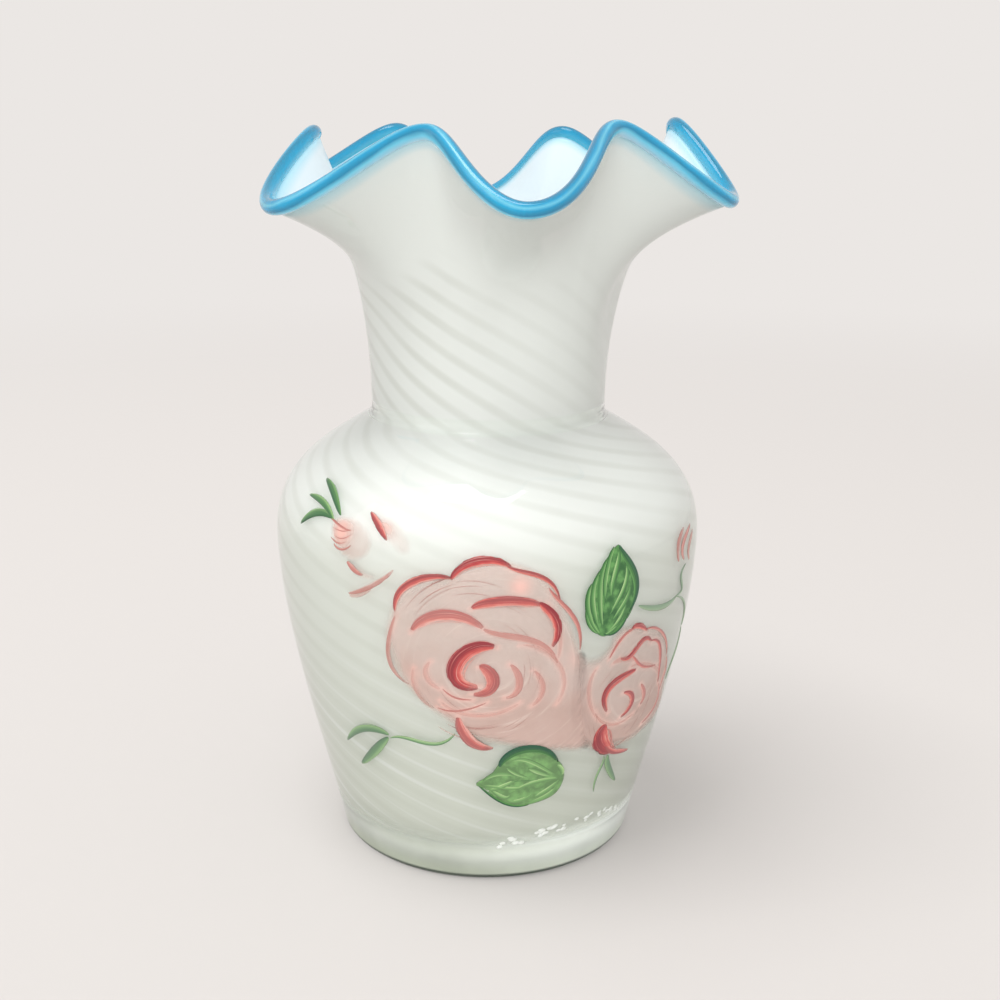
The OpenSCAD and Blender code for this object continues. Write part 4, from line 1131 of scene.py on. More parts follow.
# The small rose lies beside the large one: its height as a share of the crease's, the share
# of a rose's width from its middle to its edge, and the gap between their edges in degrees
SMALL_ROSE_HEIGHT = 0.465
ROSE_EDGE_SHARE = 0.46
ROSE_GAP_TURN = 7.2

# The lower leaf hangs under the large rose: its turn, and the shares of the rose's height and
# of its own width from one middle to the other
LOWER_LEAF_TURN = 11
ROSE_FOOT_SHARE = 0.46
LEAF_DROP_SHARE = 0.53

# The bud under the small rose, from the rose's middle, in shares of its size
LOWER_BUD_OFFSET = (-0.27, -0.385)

# How far inside the wall an enamel's back lies
BACK = 0.05 * MM

# A stroke's faces along and across, and those of one thinner than a share of the brush,
# which is lower too. Each of three strokes in turn lies higher by a share of its height, so
# that strokes which cross don't lie in one plane
STROKE_GRID = (26, 8)
THIN_GRID = (20, 2)
THIN_WIDTH = 0.3
THIN_HEIGHT = 0.7
LIFT = 0.08
LIFTS = 3

# A stroke's least width as a share of its full width, and the power of its swell
TIP_SHARE = 0.2
SWELL_POWER = 0.45

# A stroke's height as a share of the enamel's: its middle, what its dark edge adds, its fall
# to both edges and the power of that fall, its ends, and its brush's ridges
STROKE_MIDDLE = 0.6
DARK_EDGE_RISE = 0.2
EDGE_FALL = 0.5
EDGE_POWER = 4
END_SHARE = 0.55
RIDGE_SHARE = 0.14

# The waves that make a stroke's ridges: how many, how fast they run across it and where
# they start
RIDGE_WAVES = 3
RIDGE_RUNS = (3, 9)
RIDGE_STARTS = (0, 6.3)

# Where a stroke's grid is its edge: past a share of its half width, and within a share of
# its length from its ends
SIDE_EDGE = 0.99
END_EDGE = 0.001

# Each stroke's seed for its finish is its number times this, without the whole part
SEED_STEP = 0.618

# Steps between two points of an outline and along a stroke that has a halo, how far the
# halo reaches, and within how many steps of an outline a patch's rim is drawn to it
LOOP_STEPS = 8
HALO_STEPS = 30
HALO = 0.8 * MM
RIM_REACH = 1.5

ENAMEL_VALUES = ("along", "across", "seed", "inset", "halo", "tone")


class Motif:
    """A place on the vase that flat shapes are carried straight onto."""

    def __init__(self, shape, place, size, offset=(0.0, 0.0)):
        self.shape = shape
        self.turn, height_share = place
        self.z = height_share * shape.crease_z
        self.size = Vector(size)
        self.offset = Vector(offset)

    def laid(self, flat, height):
        """The place of a flat point, at a height over the wall."""
        spot = flat + self.offset
        r = self.shape.radius_at(self.z + spot.y)
        a = self.turn + math.degrees(math.asin(max(-1.0, min(1.0, spot.x / r))))
        return self.shape.on_body(a, self.z + spot.y, height)

    def curve(self, points):
        """A curve's points, from shares of the motif's size."""
        return [Vector((x * self.size.x, y * self.size.y)) for x, y in points]

    def loop(self, points):
        """A smooth closed line through points in shares of the motif's size."""
        places = self.curve(points)
        count = len(places)
        line = []
        for k in range(count):
            a, b, c, d = (places[(k + i) % count] for i in (-1, 0, 1, 2))
            line += [curve_at((b, b + (c - a) / 6, c - (d - b) / 6, c), n / LOOP_STEPS)
                     for n in range(LOOP_STEPS)]
        return line


def new_enamel():
    """An empty mesh that carries what the enamels read."""
    bm = bmesh.new()
    for name in ENAMEL_VALUES:
        bm.verts.layers.float.new(name)
    bm.verts.layers.float_vector.new("flat")
    return bm


def enamel_layers(bm):
    """The layers of an enamel's values by name, and the layer of its flat places."""
    return ({name: bm.verts.layers.float[name] for name in ENAMEL_VALUES},
            bm.verts.layers.float_vector["flat"])


def add_backs(bm, faces, motif):
    """Gives a patch of enamel its back, just inside the wall."""
    flat_layer = enamel_layers(bm)[1]
    made = bmesh.ops.extrude_face_region(bm, geom=list(faces), use_keep_orig=True)
    for vert in made["geom"]:
        if isinstance(vert, bmesh.types.BMVert):
            vert.co = motif.laid(vert[flat_layer].xy, -BACK)


def add_stroke(bm, motif, row, thickness, seed, segments):
    """Adds one brush stroke: a swelling ribbon with ridges from the brush's hairs."""
    points, width, dark_side = motif.curve(row[:4]), row[4] * motif.shape.brush_w, row[5]
    layers, flat_layer = enamel_layers(bm)
    dice = random.Random(seed)
    ridges = [(dice.uniform(*RIDGE_RUNS), dice.uniform(*RIDGE_STARTS))
              for _ in range(RIDGE_WAVES)]
    grid = bmesh.ops.create_grid(bm, x_segments=segments[0], y_segments=segments[1],
                                 size=1)["verts"]
    faces = {face for vert in grid for face in vert.link_faces}
    for vert in grid:
        t, side = (vert.co.x + 1) / 2, vert.co.y
        run = curve_run(points, t).normalized()
        swell = math.sin(math.pi * t)
        half = width / 2 * max(TIP_SHARE, swell ** SWELL_POWER)
        flat = curve_at(points, t) + side * half * Vector((-run.y, run.x))
        edge = abs(side) > SIDE_EDGE or t < END_EDGE or t > 1 - END_EDGE
        hairs = sum(math.sin(n * side * 2 + at) for n, at in ridges) / RIDGE_WAVES
        height = thickness * (STROKE_MIDDLE + DARK_EDGE_RISE * dark_side * side)
        height *= 1 - EDGE_FALL * side ** EDGE_POWER
        height *= mix(END_SHARE, 1, swell) * (1 + RIDGE_SHARE * hairs)
        values = {"along": t, "across": dark_side * side, "seed": seed * SEED_STEP % 1,
                  "tone": row[6]}
        for name, value in values.items():
            vert[layers[name]] = value
        vert[flat_layer] = (flat.x, flat.y, 0)
        vert.co = motif.laid(flat, -BACK / 2 if edge else height)
    add_backs(bm, faces, motif)


def strokes(motif, rows, thickness, first_seed):
    """The mesh of a table of strokes."""
    bm = new_enamel()
    for number, row in enumerate(rows):
        thin = row[4] < THIN_WIDTH
        height = thickness * (THIN_HEIGHT if thin else 1) * (1 + LIFT * (number % LIFTS))
        add_stroke(bm, motif, row, height, first_seed + number,
                   THIN_GRID if thin else STROKE_GRID)
    return closed(bm)


def hair_rows(groups, seed):
    """Thin arcs round a rose's heart, as rows of strokes."""
    dice = random.Random(seed)
    rows = []
    for (x, y), radii, turns, count in groups:
        for _ in range(count):
            r, start = dice.uniform(*radii), math.radians(dice.uniform(*turns))
            sweep = math.radians(dice.uniform(*HAIR_SWEEPS))
            end, reach = start + sweep, 4 / 3 * math.tan(sweep / 4) * r
            a = Vector((x + r * math.cos(start), y + r * math.sin(start)))
            b = Vector((x + r * math.cos(end), y + r * math.sin(end)))
            rows.append((a, a + reach * Vector((-math.sin(start), math.cos(start))),
                         b - reach * Vector((-math.sin(end), math.cos(end))), b,
                         dice.uniform(*HAIR_WIDTHS), 1, dice.uniform(*HAIR_TONES)))
    return rows


def inside(loop, spot):
    """Whether a flat point is inside a closed line."""
    odd = False
    for a, b in zip(loop, loop[1:] + loop[:1]):
        if (a.y > spot.y) != (b.y > spot.y):
            if spot.x < a.x + (spot.y - a.y) * (b.x - a.x) / (b.y - a.y):
                odd = not odd
    return odd


def finder(places):
    """Finds the nearest of some flat places."""
    tree = KDTree(len(places))
    for k, place in enumerate(places):
        tree.insert((place.x, place.y, 0), k)
    tree.balance()
    return tree


def bell(distance, reach):
    """1 at no distance, falling away softly over a reach."""
    return math.exp(-(distance / reach) ** 2)


def patch(motif, outline, step, soft, height_at, rows=(), spots=()):
    """A patch of enamel inside an outline, with a halo by the strokes that will lie on it
    and in its pink spots."""
    loop = motif.loop(outline)
    low = Vector((min(p.x for p in loop), min(p.y for p in loop)))
    high = Vector((max(p.x for p in loop), max(p.y for p in loop)))
    span, middle = high - low, (low + high) / 2
    bm = new_enamel()
    layers, flat_layer = enamel_layers(bm)
    bmesh.ops.create_grid(bm, x_segments=math.ceil(span.x / step),
                          y_segments=math.ceil(span.y / step), size=0.5,
                          matrix=Matrix.Diagonal((span.x, span.y, 1, 1)))
    bmesh.ops.translate(bm, verts=bm.verts, vec=(middle.x, middle.y, 0))
    outer = [v for v in bm.verts if not inside(loop, v.co)]
    bmesh.ops.delete(bm, geom=outer, context="VERTS")
    edge = finder(loop)
    lines = finder([curve_at(motif.curve(row[:4]), k / HALO_STEPS)
                    for row in rows for k in range(HALO_STEPS + 1)])
    for vert in bm.verts:
        near, _, depth = edge.find(vert.co)
        rim = vert.is_boundary
        flat = near.xy if rim and depth < RIM_REACH * step else vert.co.xy
        share = 0.0 if rim else max(0.0, min(1.0, depth / soft))
        halos = [bell(lines.find(vert.co)[2], HALO)] if rows else [0.0]
        for x, y, reach, strength in spots:
            way = vert.co.xy - motif.curve([(x, y)])[0]
            halos.append(strength * bell(way.length, reach * MM))
        values = {"inset": share, "halo": max(halos), "along": flat.y / motif.size.y,
                  "across": flat.x / motif.size.x}
        for name, value in values.items():
            vert[layers[name]] = value
        vert[flat_layer] = (flat.x, flat.y, 0)
        vert.co = motif.laid(flat, -BACK / 2 if rim else height_at(flat, share))
    add_backs(bm, bm.faces, motif)
    return closed(bm)


# Steps of a patch's grid, and how far in from its edge it reaches its full height
ROSE_STEP = 0.7 * MM
ROSE_SOFT = 4 * MM
SMALL_STEP = 0.35 * MM
LEAF_SOFT = 1.2 * MM
BUD_SOFT = 2.4 * MM

# Height of a rose's wash as a share of the enamel's: at its edge, what its inside adds and
# what its ridges add, with how fast their wave runs outwards, to a millimetre, and round
WASH_EDGE_HEIGHT = 0.35
WASH_INSIDE_RISE = 0.3
WASH_RIDGE_RISE = 0.12
WASH_RIDGES_OUT = 2.6
WASH_RIDGES_ROUND = 2

# Height of a small coat as a share of the enamel's: at a leaf's edge, at a bud's, and what
# its inside adds
LEAF_COAT_EDGE = 0.25
BUD_COAT_EDGE = 0.2
COAT_RISE = 0.2


def wash_height(shape):
    """Height of a rose's wash: thin at its edge, faintly ridged inside."""
    def height_at(flat, share):
        turn = math.atan2(flat.y, flat.x)
        wave = math.sin(flat.length / MM * WASH_RIDGES_OUT + WASH_RIDGES_ROUND * turn)
        rise = WASH_INSIDE_RISE + WASH_RIDGE_RISE * (0.5 + 0.5 * wave)
        return shape.wash_t * (WASH_EDGE_HEIGHT + rise * share)
    return height_at


def coat_height(thickness, edge):
    """Height of a small coat, which rises from its edge."""
    return lambda flat, share: thickness * (edge + COAT_RISE * share)


# Operators -----------------------------------------------------------------------------

# Columns round the body, round the foot's haze and round the lip
BODY_COLUMNS = 288
HAZE_COLUMNS = 144
LIP_COLUMNS = 360

# The casing's steps up the wall, round the knee under the neck, up the collar outside and
# inside, and across the cavity's floor
CASING_STEPS = 64
KNEE_STEPS = 5
OUTER_COLLAR_STEPS = 44
INNER_COLLAR_STEPS = 30
CAVITY_FLOOR_STEPS = 4

# The knee: how far below and above the crease it starts and ends, how strongly it is drawn
# into the corner, and the share of the collar at which the collar's rows take over
KNEE_BELOW = 1.0 * MM
KNEE_ABOVE = 1.2 * MM
KNEE_PULL = 0.7
COLLAR_START = 0.018

# The lining's lap over the casing's inside, and its steps across the floor and up the collar
LAP = 0.03 * MM
FLOOR_STEPS = 6
LINING_COLLAR_STEPS = 60

# The gap between the haze and the foot's outside, and its steps up the wall
HAZE_GAP = 0.7 * MM
HAZE_STEPS = 60

# Turn and height, in mm, of the bubbles that show over the foot
BUBBLE_ROW = (
    (8, 11.9), (12, 12.7), (17, 13.4), (22, 14.1), (27, 14.5), (31, 14.8), (37, 15), (44, 15),
    (50, 14.2), (56, 12.8), (62, 11.5), (68, 10), (95, 12), (150, 14), (170, 13), (215, 14),
    (240, 12), (290, 13))

# Bubbles at each of these places, their scatter in degrees and in height, their depth, the
# ranges of their size, tilt and stretch, their thickness as a share of their size, and their
# seed
BUBBLES_EACH = 3
BUBBLE_TURNS = (-3, 3)
BUBBLE_RISES = (-1.1, 1.1)
BUBBLE_DEPTH = 0.42 * MM
BUBBLE_SIZES = (0.35, 0.65)
BUBBLE_TILTS = (-0.5, 0.1)
BUBBLE_STRETCHES = (1.2, 2.2)
BUBBLE_FLATNESS = 0.5
BUBBLE_SEED = 3

# The thread's steps round its section, and the radius of its ring before it is wrapped
LIP_STEPS = 24
LIP_RING_R = 50 * MM

# Thickness of the shading and of a leaf's veins, as a share of the other strokes'
SHADING_THICKNESS = 1.15
VEIN_THICKNESS = 1.25

# How pale the lower leaf is, and how strong the washes beside the buds are
LOWER_LEAF_PALE = 0.2
BUD_WASH_STRENGTH = 0.4


def on_floor(r, height, steps, values):
    """Profile rows across a floor from its middle, short of its edge."""
    return [(r * k / steps, height, values) for k in range(steps)]


class VaseOperator:
    """What the vase's operators share."""

    bl_options = {"REGISTER", "UNDO"}

    @staticmethod
    def parts(context):
        """The vase's shape and its colours."""
        return VaseShape(context.scene.vase_sizes), context.scene.vase_colours


class VASE_OT_casing(VaseOperator, bpy.types.Operator):
    """Blow the clear outer glass with its thick foot and crimped collar"""

    bl_idname = "vase.casing"
    bl_label = "Clear Casing"

    def execute(self, context):
        s, colours = self.parts(context)
        rows = foot_rows(s, 0.0, range(CORNER_STEPS), ON_BODY)
        wall = [s.wall_at(2 * k / CASING_STEPS, 0) for k in range(CASING_STEPS)]
        wall = [p for p in wall if p.y < s.crease_z - KNEE_BELOW]
        low, high = wall[-1], Vector((s.crease_r, s.crease_z + KNEE_ABOVE))
        corner = Vector((s.crease_r + s.ledge, s.crease_z))
        knee = (low, mix(low, corner, KNEE_PULL), mix(high, corner, KNEE_PULL), high)
        wall += [curve_at(knee, k / KNEE_STEPS) for k in range(1, KNEE_STEPS)]
        rows += [(p.x, p.y, ON_BODY) for p in wall]
        rows += collar_rows(0.0, 0.0, [mix(COLLAR_START, 1, k / OUTER_COLLAR_STEPS)
                                       for k in range(OUTER_COLLAR_STEPS + 1)])
        rows += collar_rows(s.casing_t, s.rim_t, [k / INNER_COLLAR_STEPS
                                                  for k in range(INNER_COLLAR_STEPS, 0, -1)])
        cavity = s.hollow_line(s.casing_t, s.base_t, s.crease_r - s.casing_t - s.ledge)
        rows += [(p.x, p.y, ON_BODY) for p in reversed(cavity[::2])]
        rows += reversed(on_floor(cavity[0].x, s.base_t, CAVITY_FLOOR_STEPS, ON_BODY))
        bm = spun(rows, BODY_COLUMNS)
        crimped(bm, s)
        finish_piece(bm, "clear_casing_glass", clear_glass(colours),
                     ["clear_casing"])
        return {"FINISHED"}


class VASE_OT_lining(VaseOperator, bpy.types.Operator):
    """Blow the opal glass inside the casing, with its spiral ribs"""

    bl_idname = "vase.lining"
    bl_label = "Opal Lining"

    def execute(self, context):
        s, colours = self.parts(context)
        finish_piece(self.with_ribs(spun(self.rows(s), BODY_COLUMNS), s), "opal_lining_glass",
                     opal_glass(colours), ["opal_lining"])
        return {"FINISHED"}

    @staticmethod
    def rows(s):
        """The lining's profile: up its outside and down its inside."""
        def body(places, ribbed):
            return [(r, z, dict(ON_BODY, ribbed=ribbed, lag=s.wall_lag(z))) for r, z in places]

        def floor(r, z):
            return body([(r * k / FLOOR_STEPS, z) for k in range(FLOOR_STEPS)], 0.0)

        def collar(shares, depth, rim_depth, ribbed):
            return [row for share in shares for row in collar_rows(
                depth, rim_depth, [share], ribbed=ribbed, lag=s.neck_lag(share))]

        depth, floor_z = s.casing_t - LAP, s.base_t - LAP
        cavity = s.hollow_line(depth, floor_z, s.crease_r - depth - s.ledge)
        shares = [k / LINING_COLLAR_STEPS for k in range(1, LINING_COLLAR_STEPS + 1)]
        rows = floor(cavity[0].x, floor_z) + body(cavity, 0.0)
        rows += collar(shares, depth, s.rim_t - LAP, 0.0)
        rows += collar(reversed(shares), s.casing_t + s.lining_t, 2 * s.rim_t, 1.0)
        rows += body(reversed(s.vessel), 1.0)
        rows += reversed(floor(s.vessel[0].x, s.base_t + s.lining_t))
        return rows

    @staticmethod
    def with_ribs(bm, s):
        """Raises the ribs, crimps the collar, and notes each place as it was before the turn."""
        ribbed, lag, share, depth, rim = (
            bm.verts.layers.float[name] for name in ("ribbed", "lag", "share", "depth", "rim"))
        untwisted = bm.verts.layers.float_vector.new("untwisted")
        for vert in bm.verts:
            a = turn_of(vert.co)
            off = (a - vert[lag] + RIB_PITCH / 2) % RIB_PITCH - RIB_PITCH / 2
            rise = math.cos(math.pi / 2 * min(1.0, abs(off) / RIB_HALF)) ** 2
            rise *= s.rib_h * vert[ribbed]
            late = vert[lag]
            if vert[share] >= 0:
                rise *= 1 - smooth(RIB_TOP_SHARE - RIB_FADE_SHARE, RIB_TOP_SHARE, vert[share])
                vert.co = s.collar_at(a, vert[share], vert[depth] + rise, vert[rim] + rise)
                late = s.neck_lag(s.neck_share(vert.co.z))
            else:
                vert.co = turned(a, max(0.0, vert.co.xy.length - rise), vert.co.z)
            vert[untwisted] = turned(a - late, vert.co.xy.length, vert.co.z)
        return bm


class VASE_OT_foot(VaseOperator, bpy.types.Operator):
    """Cloud the glass of the foot, and leave a row of bubbles over it"""

    bl_idname = "vase.foot"
    bl_label = "Foot"

    def execute(self, context):
        s, colours = self.parts(context)
        finish_piece(spun(self.haze_rows(s), HAZE_COLUMNS), "foot_cloudy_glass",
                     cloudy_glass(colours))
        finish_piece(self.bubbles(s), "foot_bubbles", bubble_finish(colours))
        return {"FINISHED"}

    @staticmethod
    def haze_rows(s):
        """The profile of the haze, inside the foot's glass and round the cavity's floor."""
        top = s.base_t - HAZE_GAP
        wall = [s.wall_at(k / HAZE_STEPS, HAZE_GAP) for k in range(HAZE_STEPS)]
        wall = [p for p in wall if s.foot_round < p.y < HAZE_TOP]
        cavity = s.hollow_line(s.casing_t - HAZE_GAP / 2, top, s.crease_r)
        cavity = [p for p in cavity if p.y < HAZE_TOP]
        rows = foot_rows(s, HAZE_GAP, range(1, CORNER_STEPS + 1), {})
        rows += [(p.x, p.y, {}) for p in wall + cavity[::-1]]
        rows += reversed(on_floor(cavity[0].x, top, FLOOR_STEPS, {}))
        return rows

    @staticmethod
    def bubbles(s):
        """The bubbles, as flat white drops just under the glass, whose white and painted glow
        stand in for their glints.
        """
        dice = random.Random(BUBBLE_SEED)
        bm = bmesh.new()
        for turn, z in BUBBLE_ROW:
            for _ in range(BUBBLES_EACH):
                a, up = turn + dice.uniform(*BUBBLE_TURNS), (z + dice.uniform(*BUBBLE_RISES)) * MM
                size = dice.uniform(*BUBBLE_SIZES) * MM
                tilt, stretch = dice.uniform(*BUBBLE_TILTS), dice.uniform(*BUBBLE_STRETCHES)
                shift = (Matrix.Translation(turned(a, s.radius_at(up) - BUBBLE_DEPTH, up))
                         @ Matrix.Rotation(math.radians(a), 4, "Z")
                         @ Matrix.Rotation(tilt, 4, "Y")
                         @ Matrix.Diagonal((stretch * size, BUBBLE_FLATNESS * size, size, 1)))
                bmesh.ops.create_icosphere(bm, subdivisions=2, radius=1, matrix=shift)
        return closed(bm)


class VASE_OT_lip(VaseOperator, bpy.types.Operator):
    """Wrap the blue glass thread over the crimped rim"""

    bl_idname = "vase.lip"
    bl_label = "Blue Lip"

    def execute(self, context):
        s, colours = self.parts(context)
        end = 180 - math.degrees(math.asin(s.rim_t / s.thread_r))
        rows = []
        for k in range(LIP_STEPS + 1):
            t = math.radians(end * (1 - 2 * k / LIP_STEPS))
            rows.append((LIP_RING_R + s.thread_r * math.sin(t), s.thread_r * math.cos(t),
                         {"section": math.degrees(t)}))
        bm = spun(rows, LIP_COLUMNS)
        section = bm.verts.layers.float["section"]
        around = bm.verts.layers.float.new("around")
        for vert in bm.verts:
            a, t = turn_of(vert.co), math.radians(vert[section])
            middle, rise, side = s.rim(a)[:3]
            vert[around] = abs(a) / 180
            vert.co = middle + s.thread_r * (math.cos(t) * rise + math.sin(t) * side)
        finish_piece(bm, "blue_lip_thread", blue_glass(colours), ["blue_lip"])
        return {"FINISHED"}


def paint_rose(shape, colours, name, motif, tables, spots, seed):
    """Paints a rose's wash, its petals and its shading."""
    outline, petals, shading, hairs = tables
    wash = patch(motif, outline, ROSE_STEP, ROSE_SOFT, wash_height(shape), petals + shading, spots)
    finish_piece(wash, name + "_wash_coat", wash_enamel(name + "_wash", colours),
                 [name + "_wash"])
    rows = (*petals, *hair_rows(hairs, seed))
    finish_piece(strokes(motif, rows, shape.stroke_t, seed), name + "_petal_strokes",
                 petal_enamel(name + "_petals", colours), [name + "_petals"])
    finish_piece(strokes(motif, shading, shape.stroke_t * SHADING_THICKNESS, seed + len(petals)),
                 name + "_shading_strokes", petal_enamel(name + "_shading", colours),
                 [name + "_shading"])


def small_rose_motif(s, size, offset=(0.0, 0.0)):
    """A motif on the small rose's place beside the large one."""
    def half_turn(width):
        return math.degrees(math.asin(min(1.0, ROSE_EDGE_SHARE * width / s.belly_r)))
    turn = ROSE_PLACE[0] + half_turn(s.rose_w) + ROSE_GAP_TURN + half_turn(s.small_rose_w)
    return Motif(s, (turn, SMALL_ROSE_HEIGHT), size, offset)


def lower_bud_motif(s):
    """The place of the bud that hangs under the small rose."""
    x, y = LOWER_BUD_OFFSET
    return small_rose_motif(s, (s.bud_size, s.bud_size), (x * s.small_rose_w, y * s.small_rose_h))


class VASE_OT_large_rose(VaseOperator, bpy.types.Operator):
    """Paint the large rose: its wash, its coral petals and its dark red shading"""

    bl_idname = "vase.large_rose"
    bl_label = "Large Rose"

    def execute(self, context):
        s, colours = self.parts(context)
        paint_rose(s, colours, "large_rose", Motif(s, ROSE_PLACE, (s.rose_w, s.rose_h)),
                   (ROSE_OUTLINE, ROSE_PETALS, ROSE_SHADING, ROSE_HAIRS), ROSE_SPOTS, 10)
        return {"FINISHED"}


class VASE_OT_small_rose(VaseOperator, bpy.types.Operator):
    """Paint the small rose: its wash, its coral petals and its dark red shading"""

    bl_idname = "vase.small_rose"
    bl_label = "Small Rose"

    def execute(self, context):
        s, colours = self.parts(context)
        paint_rose(s, colours, "small_rose", small_rose_motif(s, (s.small_rose_w, s.small_rose_h)),
                   (SMALL_OUTLINE, SMALL_PETALS, SMALL_SHADING, SMALL_HAIRS), (), 50)
        return {"FINISHED"}


class VASE_OT_leaves(VaseOperator, bpy.types.Operator):
    """Paint the two leaves, each a dark coat under light strokes, with dark edges and veins"""

    bl_idname = "vase.leaves"
    bl_label = "Leaves"

    def execute(self, context):
        s, colours = self.parts(context)
        drop = ROSE_FOOT_SHARE * s.rose_h + LEAF_DROP_SHARE * s.lower_leaf_w
        lower_place = (LOWER_LEAF_TURN, ROSE_PLACE[1] - drop / s.crease_z)
        # Each leaf's name, place, size, outline, light strokes, dark strokes, paleness and seed
        for name, place, size, outline, ridges, edges, pale, seed in (
                ("upper_leaf", UPPER_LEAF_PLACE, (s.upper_leaf_w, s.upper_leaf_l),
                 UPPER_LEAF, UPPER_RIDGES, UPPER_EDGE, 0.0, 80),
                ("lower_leaf", lower_place, (s.lower_leaf_l, s.lower_leaf_w),
                 LOWER_LEAF, LOWER_RIDGES, LOWER_EDGE, LOWER_LEAF_PALE, 90)):
            leaf = Motif(s, place, size)
            coat = patch(leaf, outline, SMALL_STEP, LEAF_SOFT,
                         coat_height(s.stroke_t, LEAF_COAT_EDGE))
            finish_piece(coat, name + "_coat", leaf_enamel(name + "_shade", colours, pale),
                         [name])
            finish_piece(strokes(leaf, ridges, s.stroke_t, seed), name + "_ridge_strokes",
                         green_enamel(name + "_ridges", colours, pale=pale),
                         [name])
            finish_piece(strokes(leaf, edges, s.stroke_t * VEIN_THICKNESS, seed + len(ridges)),
                         name + "_vein_strokes", green_enamel(name + "_veins", colours),
                         [name + "_veins"])
        return {"FINISHED"}


class VASE_OT_buds(VaseOperator, bpy.types.Operator):
    """Paint the buds and the loose petals"""

    bl_idname = "vase.buds"
    bl_label = "Buds and Petals"

    def execute(self, context):
        s, colours = self.parts(context)
        # Each piece's name, place, strokes, washes with their pink spots, and seed
        for name, place, rows, washes, seed in (
                ("right_bud", RIGHT_BUD_PLACE, RIGHT_BUD, (), 100),
                ("left_bud", LEFT_BUD_PLACE, LEFT_BUD, ((BUD_WASH, BUD_SPOTS),), 110),
                ("loose_petals", LOOSE_PETAL_PLACE, LOOSE_PETALS,
                 ((PETAL_WASH, PETAL_SPOTS), (LOW_PETAL_WASH, ())), 120)):
            motif = Motif(s, place, (s.bud_size, s.bud_size))
            for number, (outline, spots) in enumerate(washes):
                piece = "%s_wash_%d" % (name, number + 1)
                coat = patch(motif, outline, SMALL_STEP, BUD_SOFT,
                             coat_height(s.wash_t, BUD_COAT_EDGE), spots=spots)
                finish_piece(coat, piece, wash_enamel(piece, colours, BUD_WASH_STRENGTH),
                             [name])
            finish_piece(strokes(motif, rows, s.stroke_t, seed), name + "_strokes",
                         petal_enamel(name + "_enamel", colours), [name])
        finish_piece(strokes(lower_bud_motif(s), LOWER_BUD, s.stroke_t, 170),
                     "lower_bud_strokes", petal_enamel("lower_bud_enamel", colours),
                     ["lower_bud"])
        return {"FINISHED"}


class VASE_OT_stems(VaseOperator, bpy.types.Operator):
    """Paint the stem, the sprig, the sepals and the bud's small leaves"""

    bl_idname = "vase.stems"
    bl_label = "Stems and Sprigs"

    def execute(self, context):
        s, colours = self.parts(context)
        bud, sprig = (s.bud_size, s.bud_size), (s.sprig_l, s.sprig_l)
        # Each piece's name, place, strokes, how grey it is, and seed
        for name, motif, rows, grey, seed in (
                ("upper_stem", Motif(s, UPPER_STEM_PLACE, sprig), UPPER_STEM, 0.7, 130),
                ("left_sprig", Motif(s, LEFT_SPRIG_PLACE, sprig), LEFT_SPRIG, 0.3, 140),
                ("left_bud_leaves", Motif(s, LEFT_BUD_PLACE, bud), LEFT_BUD_LEAVES, 0.0, 150),
                ("lower_bud_sepals", lower_bud_motif(s), SEPALS, 0.4, 160)):
            finish_piece(strokes(motif, rows, s.stroke_t, seed), name + "_strokes",
                         green_enamel(name + "_green", colours, grey), [name])
        return {"FINISHED"}


# The floor's radius and number of sides, its drop below the vase, the distances between which
# it fades into the backdrop, its own soft glow as on a lit table, and how much of the lamps'
# light it returns
FLOOR_R = 1.6
FLOOR_SIDES = 96
FLOOR_DROP = 0.2 * MM
FLOOR_FADE = (1.4, 0.35)
FLOOR_GLOW = 0.32
FLOOR_GLEAM = 0.4

# Name, place, aim, width and height in metres, power in watts, whether it lights only the
# floor or all but the floor, and whether glass shows it
LAMPS = (
    ("ceiling_softbox", (-0.07, -0.16, 0.95), (0, 0, 0.1), (0.5, 0.34), 1.85, False, True),
    ("window_left", (-0.8, -0.42, 0.62), (0, 0, 0.08), (0.6, 0.6), 0.7, False, True),
    ("front_fill", (-0.02, -1.1, 0.33), (0, 0, 0.1), (1.2, 0.62), 4.5, False, False),
    ("back_fill", (0.3, 1.1, 0.4), (0, 0, 0.1), (1.0, 0.6), 2.6, False, False),
    ("floor_key", (-0.75, -0.45, 2.87), (0, 0, 0), (1.75, 1.75), 97.0, True, False))

# The camera's focal length and film width in mm, its near limit, its place, and its turns in
# degrees: down from level, and about its own view
LENS = 46.404
FILM = 36
NEAR = 10 * MM
CAMERA_PLACE = (3.36 * MM, -340 * MM, 183.4 * MM)
CAMERA_DOWN = 15.06
CAMERA_ROLL = 0.52


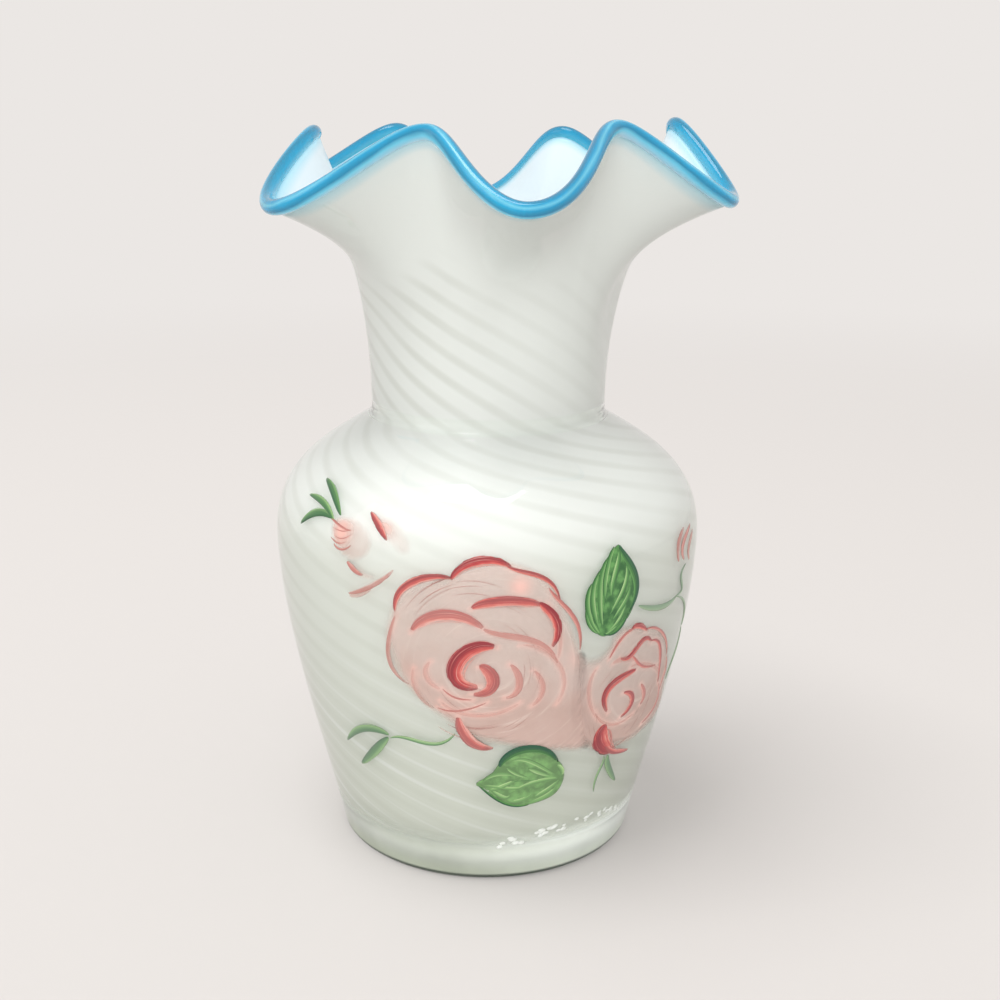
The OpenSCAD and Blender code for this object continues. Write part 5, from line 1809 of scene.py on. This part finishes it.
class VASE_OT_stage(VaseOperator, bpy.types.Operator):
    """Set up the pale floor, the soft studio light and the camera"""

    bl_idname = "vase.stage"
    bl_label = "Studio"

    def execute(self, context):
        scene, studio = context.scene, context.scene.vase_colours.studio
        floor = self.floor(scene, studio)
        world = bpy.data.worlds.new("studio")
        scene.world = world
        world.use_nodes = True
        backdrop = world.node_tree.nodes["Background"]
        backdrop.inputs["Color"].default_value = shown(studio)
        backdrop.inputs["Strength"].default_value = 1.0
        self.lamps(scene, floor)
        self.camera(scene)
        scene.view_settings.view_transform = "Standard"
        return {"FINISHED"}

    @staticmethod
    def floor(scene, studio):
        """A round floor that fades into the backdrop."""
        bm = bmesh.new()
        bmesh.ops.create_circle(bm, cap_ends=True, segments=FLOOR_SIDES, radius=FLOOR_R)
        bmesh.ops.translate(bm, verts=bm.verts, vec=(0, 0, -FLOOR_DROP))
        mesh = bpy.data.meshes.new("floor")
        bm.to_mesh(mesh)
        bm.free()
        f = Finish("floor")
        x, y, _ = f.split(f.place())
        shader = f.surface(
            Base_Color=shown(dimmed(studio, FLOOR_GLEAM)), Roughness=0.9, Specular_IOR_Level=0.0,
            Emission_Color=shown(studio), Emission_Strength=FLOOR_GLOW,
            Alpha=f.swing(f.maths("SQRT", x * x + y * y), *FLOOR_FADE))
        mesh.materials.append(f.done(shader))
        floor = bpy.data.objects.new("floor", mesh)
        scene.collection.objects.link(floor)
        return floor

    @staticmethod
    def lamps(scene, floor):
        """The lamps, each for the floor alone or for all but the floor."""
        floor_only = bpy.data.collections.new("floor_only")
        beside_floor = bpy.data.collections.new("beside_floor")
        for group in (floor_only, beside_floor):
            group.objects.link(floor)
        beside_floor.collection_objects[0].light_linking.link_state = "EXCLUDE"
        for name, place, aim, size, power, for_floor, shows in LAMPS:
            lamp = bpy.data.lights.new(name, "AREA")
            lamp.shape = "RECTANGLE"
            lamp.size, lamp.size_y = size
            lamp.energy = power
            light = bpy.data.objects.new(name, lamp)
            light.location = place
            towards = Vector(aim) - Vector(place)
            light.rotation_euler = towards.to_track_quat("-Z", "Y").to_euler()
            light.light_linking.receiver_collection = floor_only if for_floor else beside_floor
            light.visible_glossy = light.visible_transmission = shows
            scene.collection.objects.link(light)

    @staticmethod
    def camera(scene):
        """The camera, which sees the vase as the photo does."""
        view = bpy.data.cameras.new("camera")
        view.lens = LENS
        view.sensor_width = FILM
        view.clip_start = NEAR
        camera = bpy.data.objects.new("camera", view)
        camera.matrix_world = (Matrix.Translation(CAMERA_PLACE)
                               @ Matrix.Rotation(math.radians(90 - CAMERA_DOWN), 4, "X")
                               @ Matrix.Rotation(math.radians(CAMERA_ROLL), 4, "Z"))
        scene.collection.objects.link(camera)
        scene.camera = camera


class VASE_PT_panel(bpy.types.Panel):
    """The vase's sizes, colours and operators"""

    bl_idname = "VASE_PT_panel"
    bl_label = "Ruffled Glass Vase"
    bl_space_type = "VIEW_3D"
    bl_region_type = "UI"
    bl_category = "Vase"

    def draw(self, context):
        column = self.layout.column()
        for operator in OPERATORS:
            column.operator(operator.bl_idname)
        for group in (context.scene.vase_sizes, context.scene.vase_colours):
            for name in type(group).__annotations__:
                column.prop(group, name)


OPERATORS = (VASE_OT_casing, VASE_OT_lining, VASE_OT_foot, VASE_OT_lip, VASE_OT_large_rose,
             VASE_OT_small_rose, VASE_OT_leaves, VASE_OT_buds, VASE_OT_stems, VASE_OT_stage)
CLASSES = (VaseSizes, VaseColours, *OPERATORS, VASE_PT_panel)


def register():
    for kind in CLASSES:
        bpy.utils.register_class(kind)
    bpy.types.Scene.vase_sizes = PointerProperty(type=VaseSizes)
    bpy.types.Scene.vase_colours = PointerProperty(type=VaseColours)


def unregister():
    del bpy.types.Scene.vase_colours
    del bpy.types.Scene.vase_sizes
    for kind in reversed(CLASSES):
        bpy.utils.unregister_class(kind)


def main():
    register()
    bpy.ops.vase.casing()
    bpy.ops.vase.lining()
    bpy.ops.vase.foot()
    bpy.ops.vase.lip()
    bpy.ops.vase.large_rose()
    bpy.ops.vase.small_rose()
    bpy.ops.vase.leaves()
    bpy.ops.vase.buds()
    bpy.ops.vase.stems()
    bpy.ops.vase.stage()


if __name__ == "__main__":
    main()
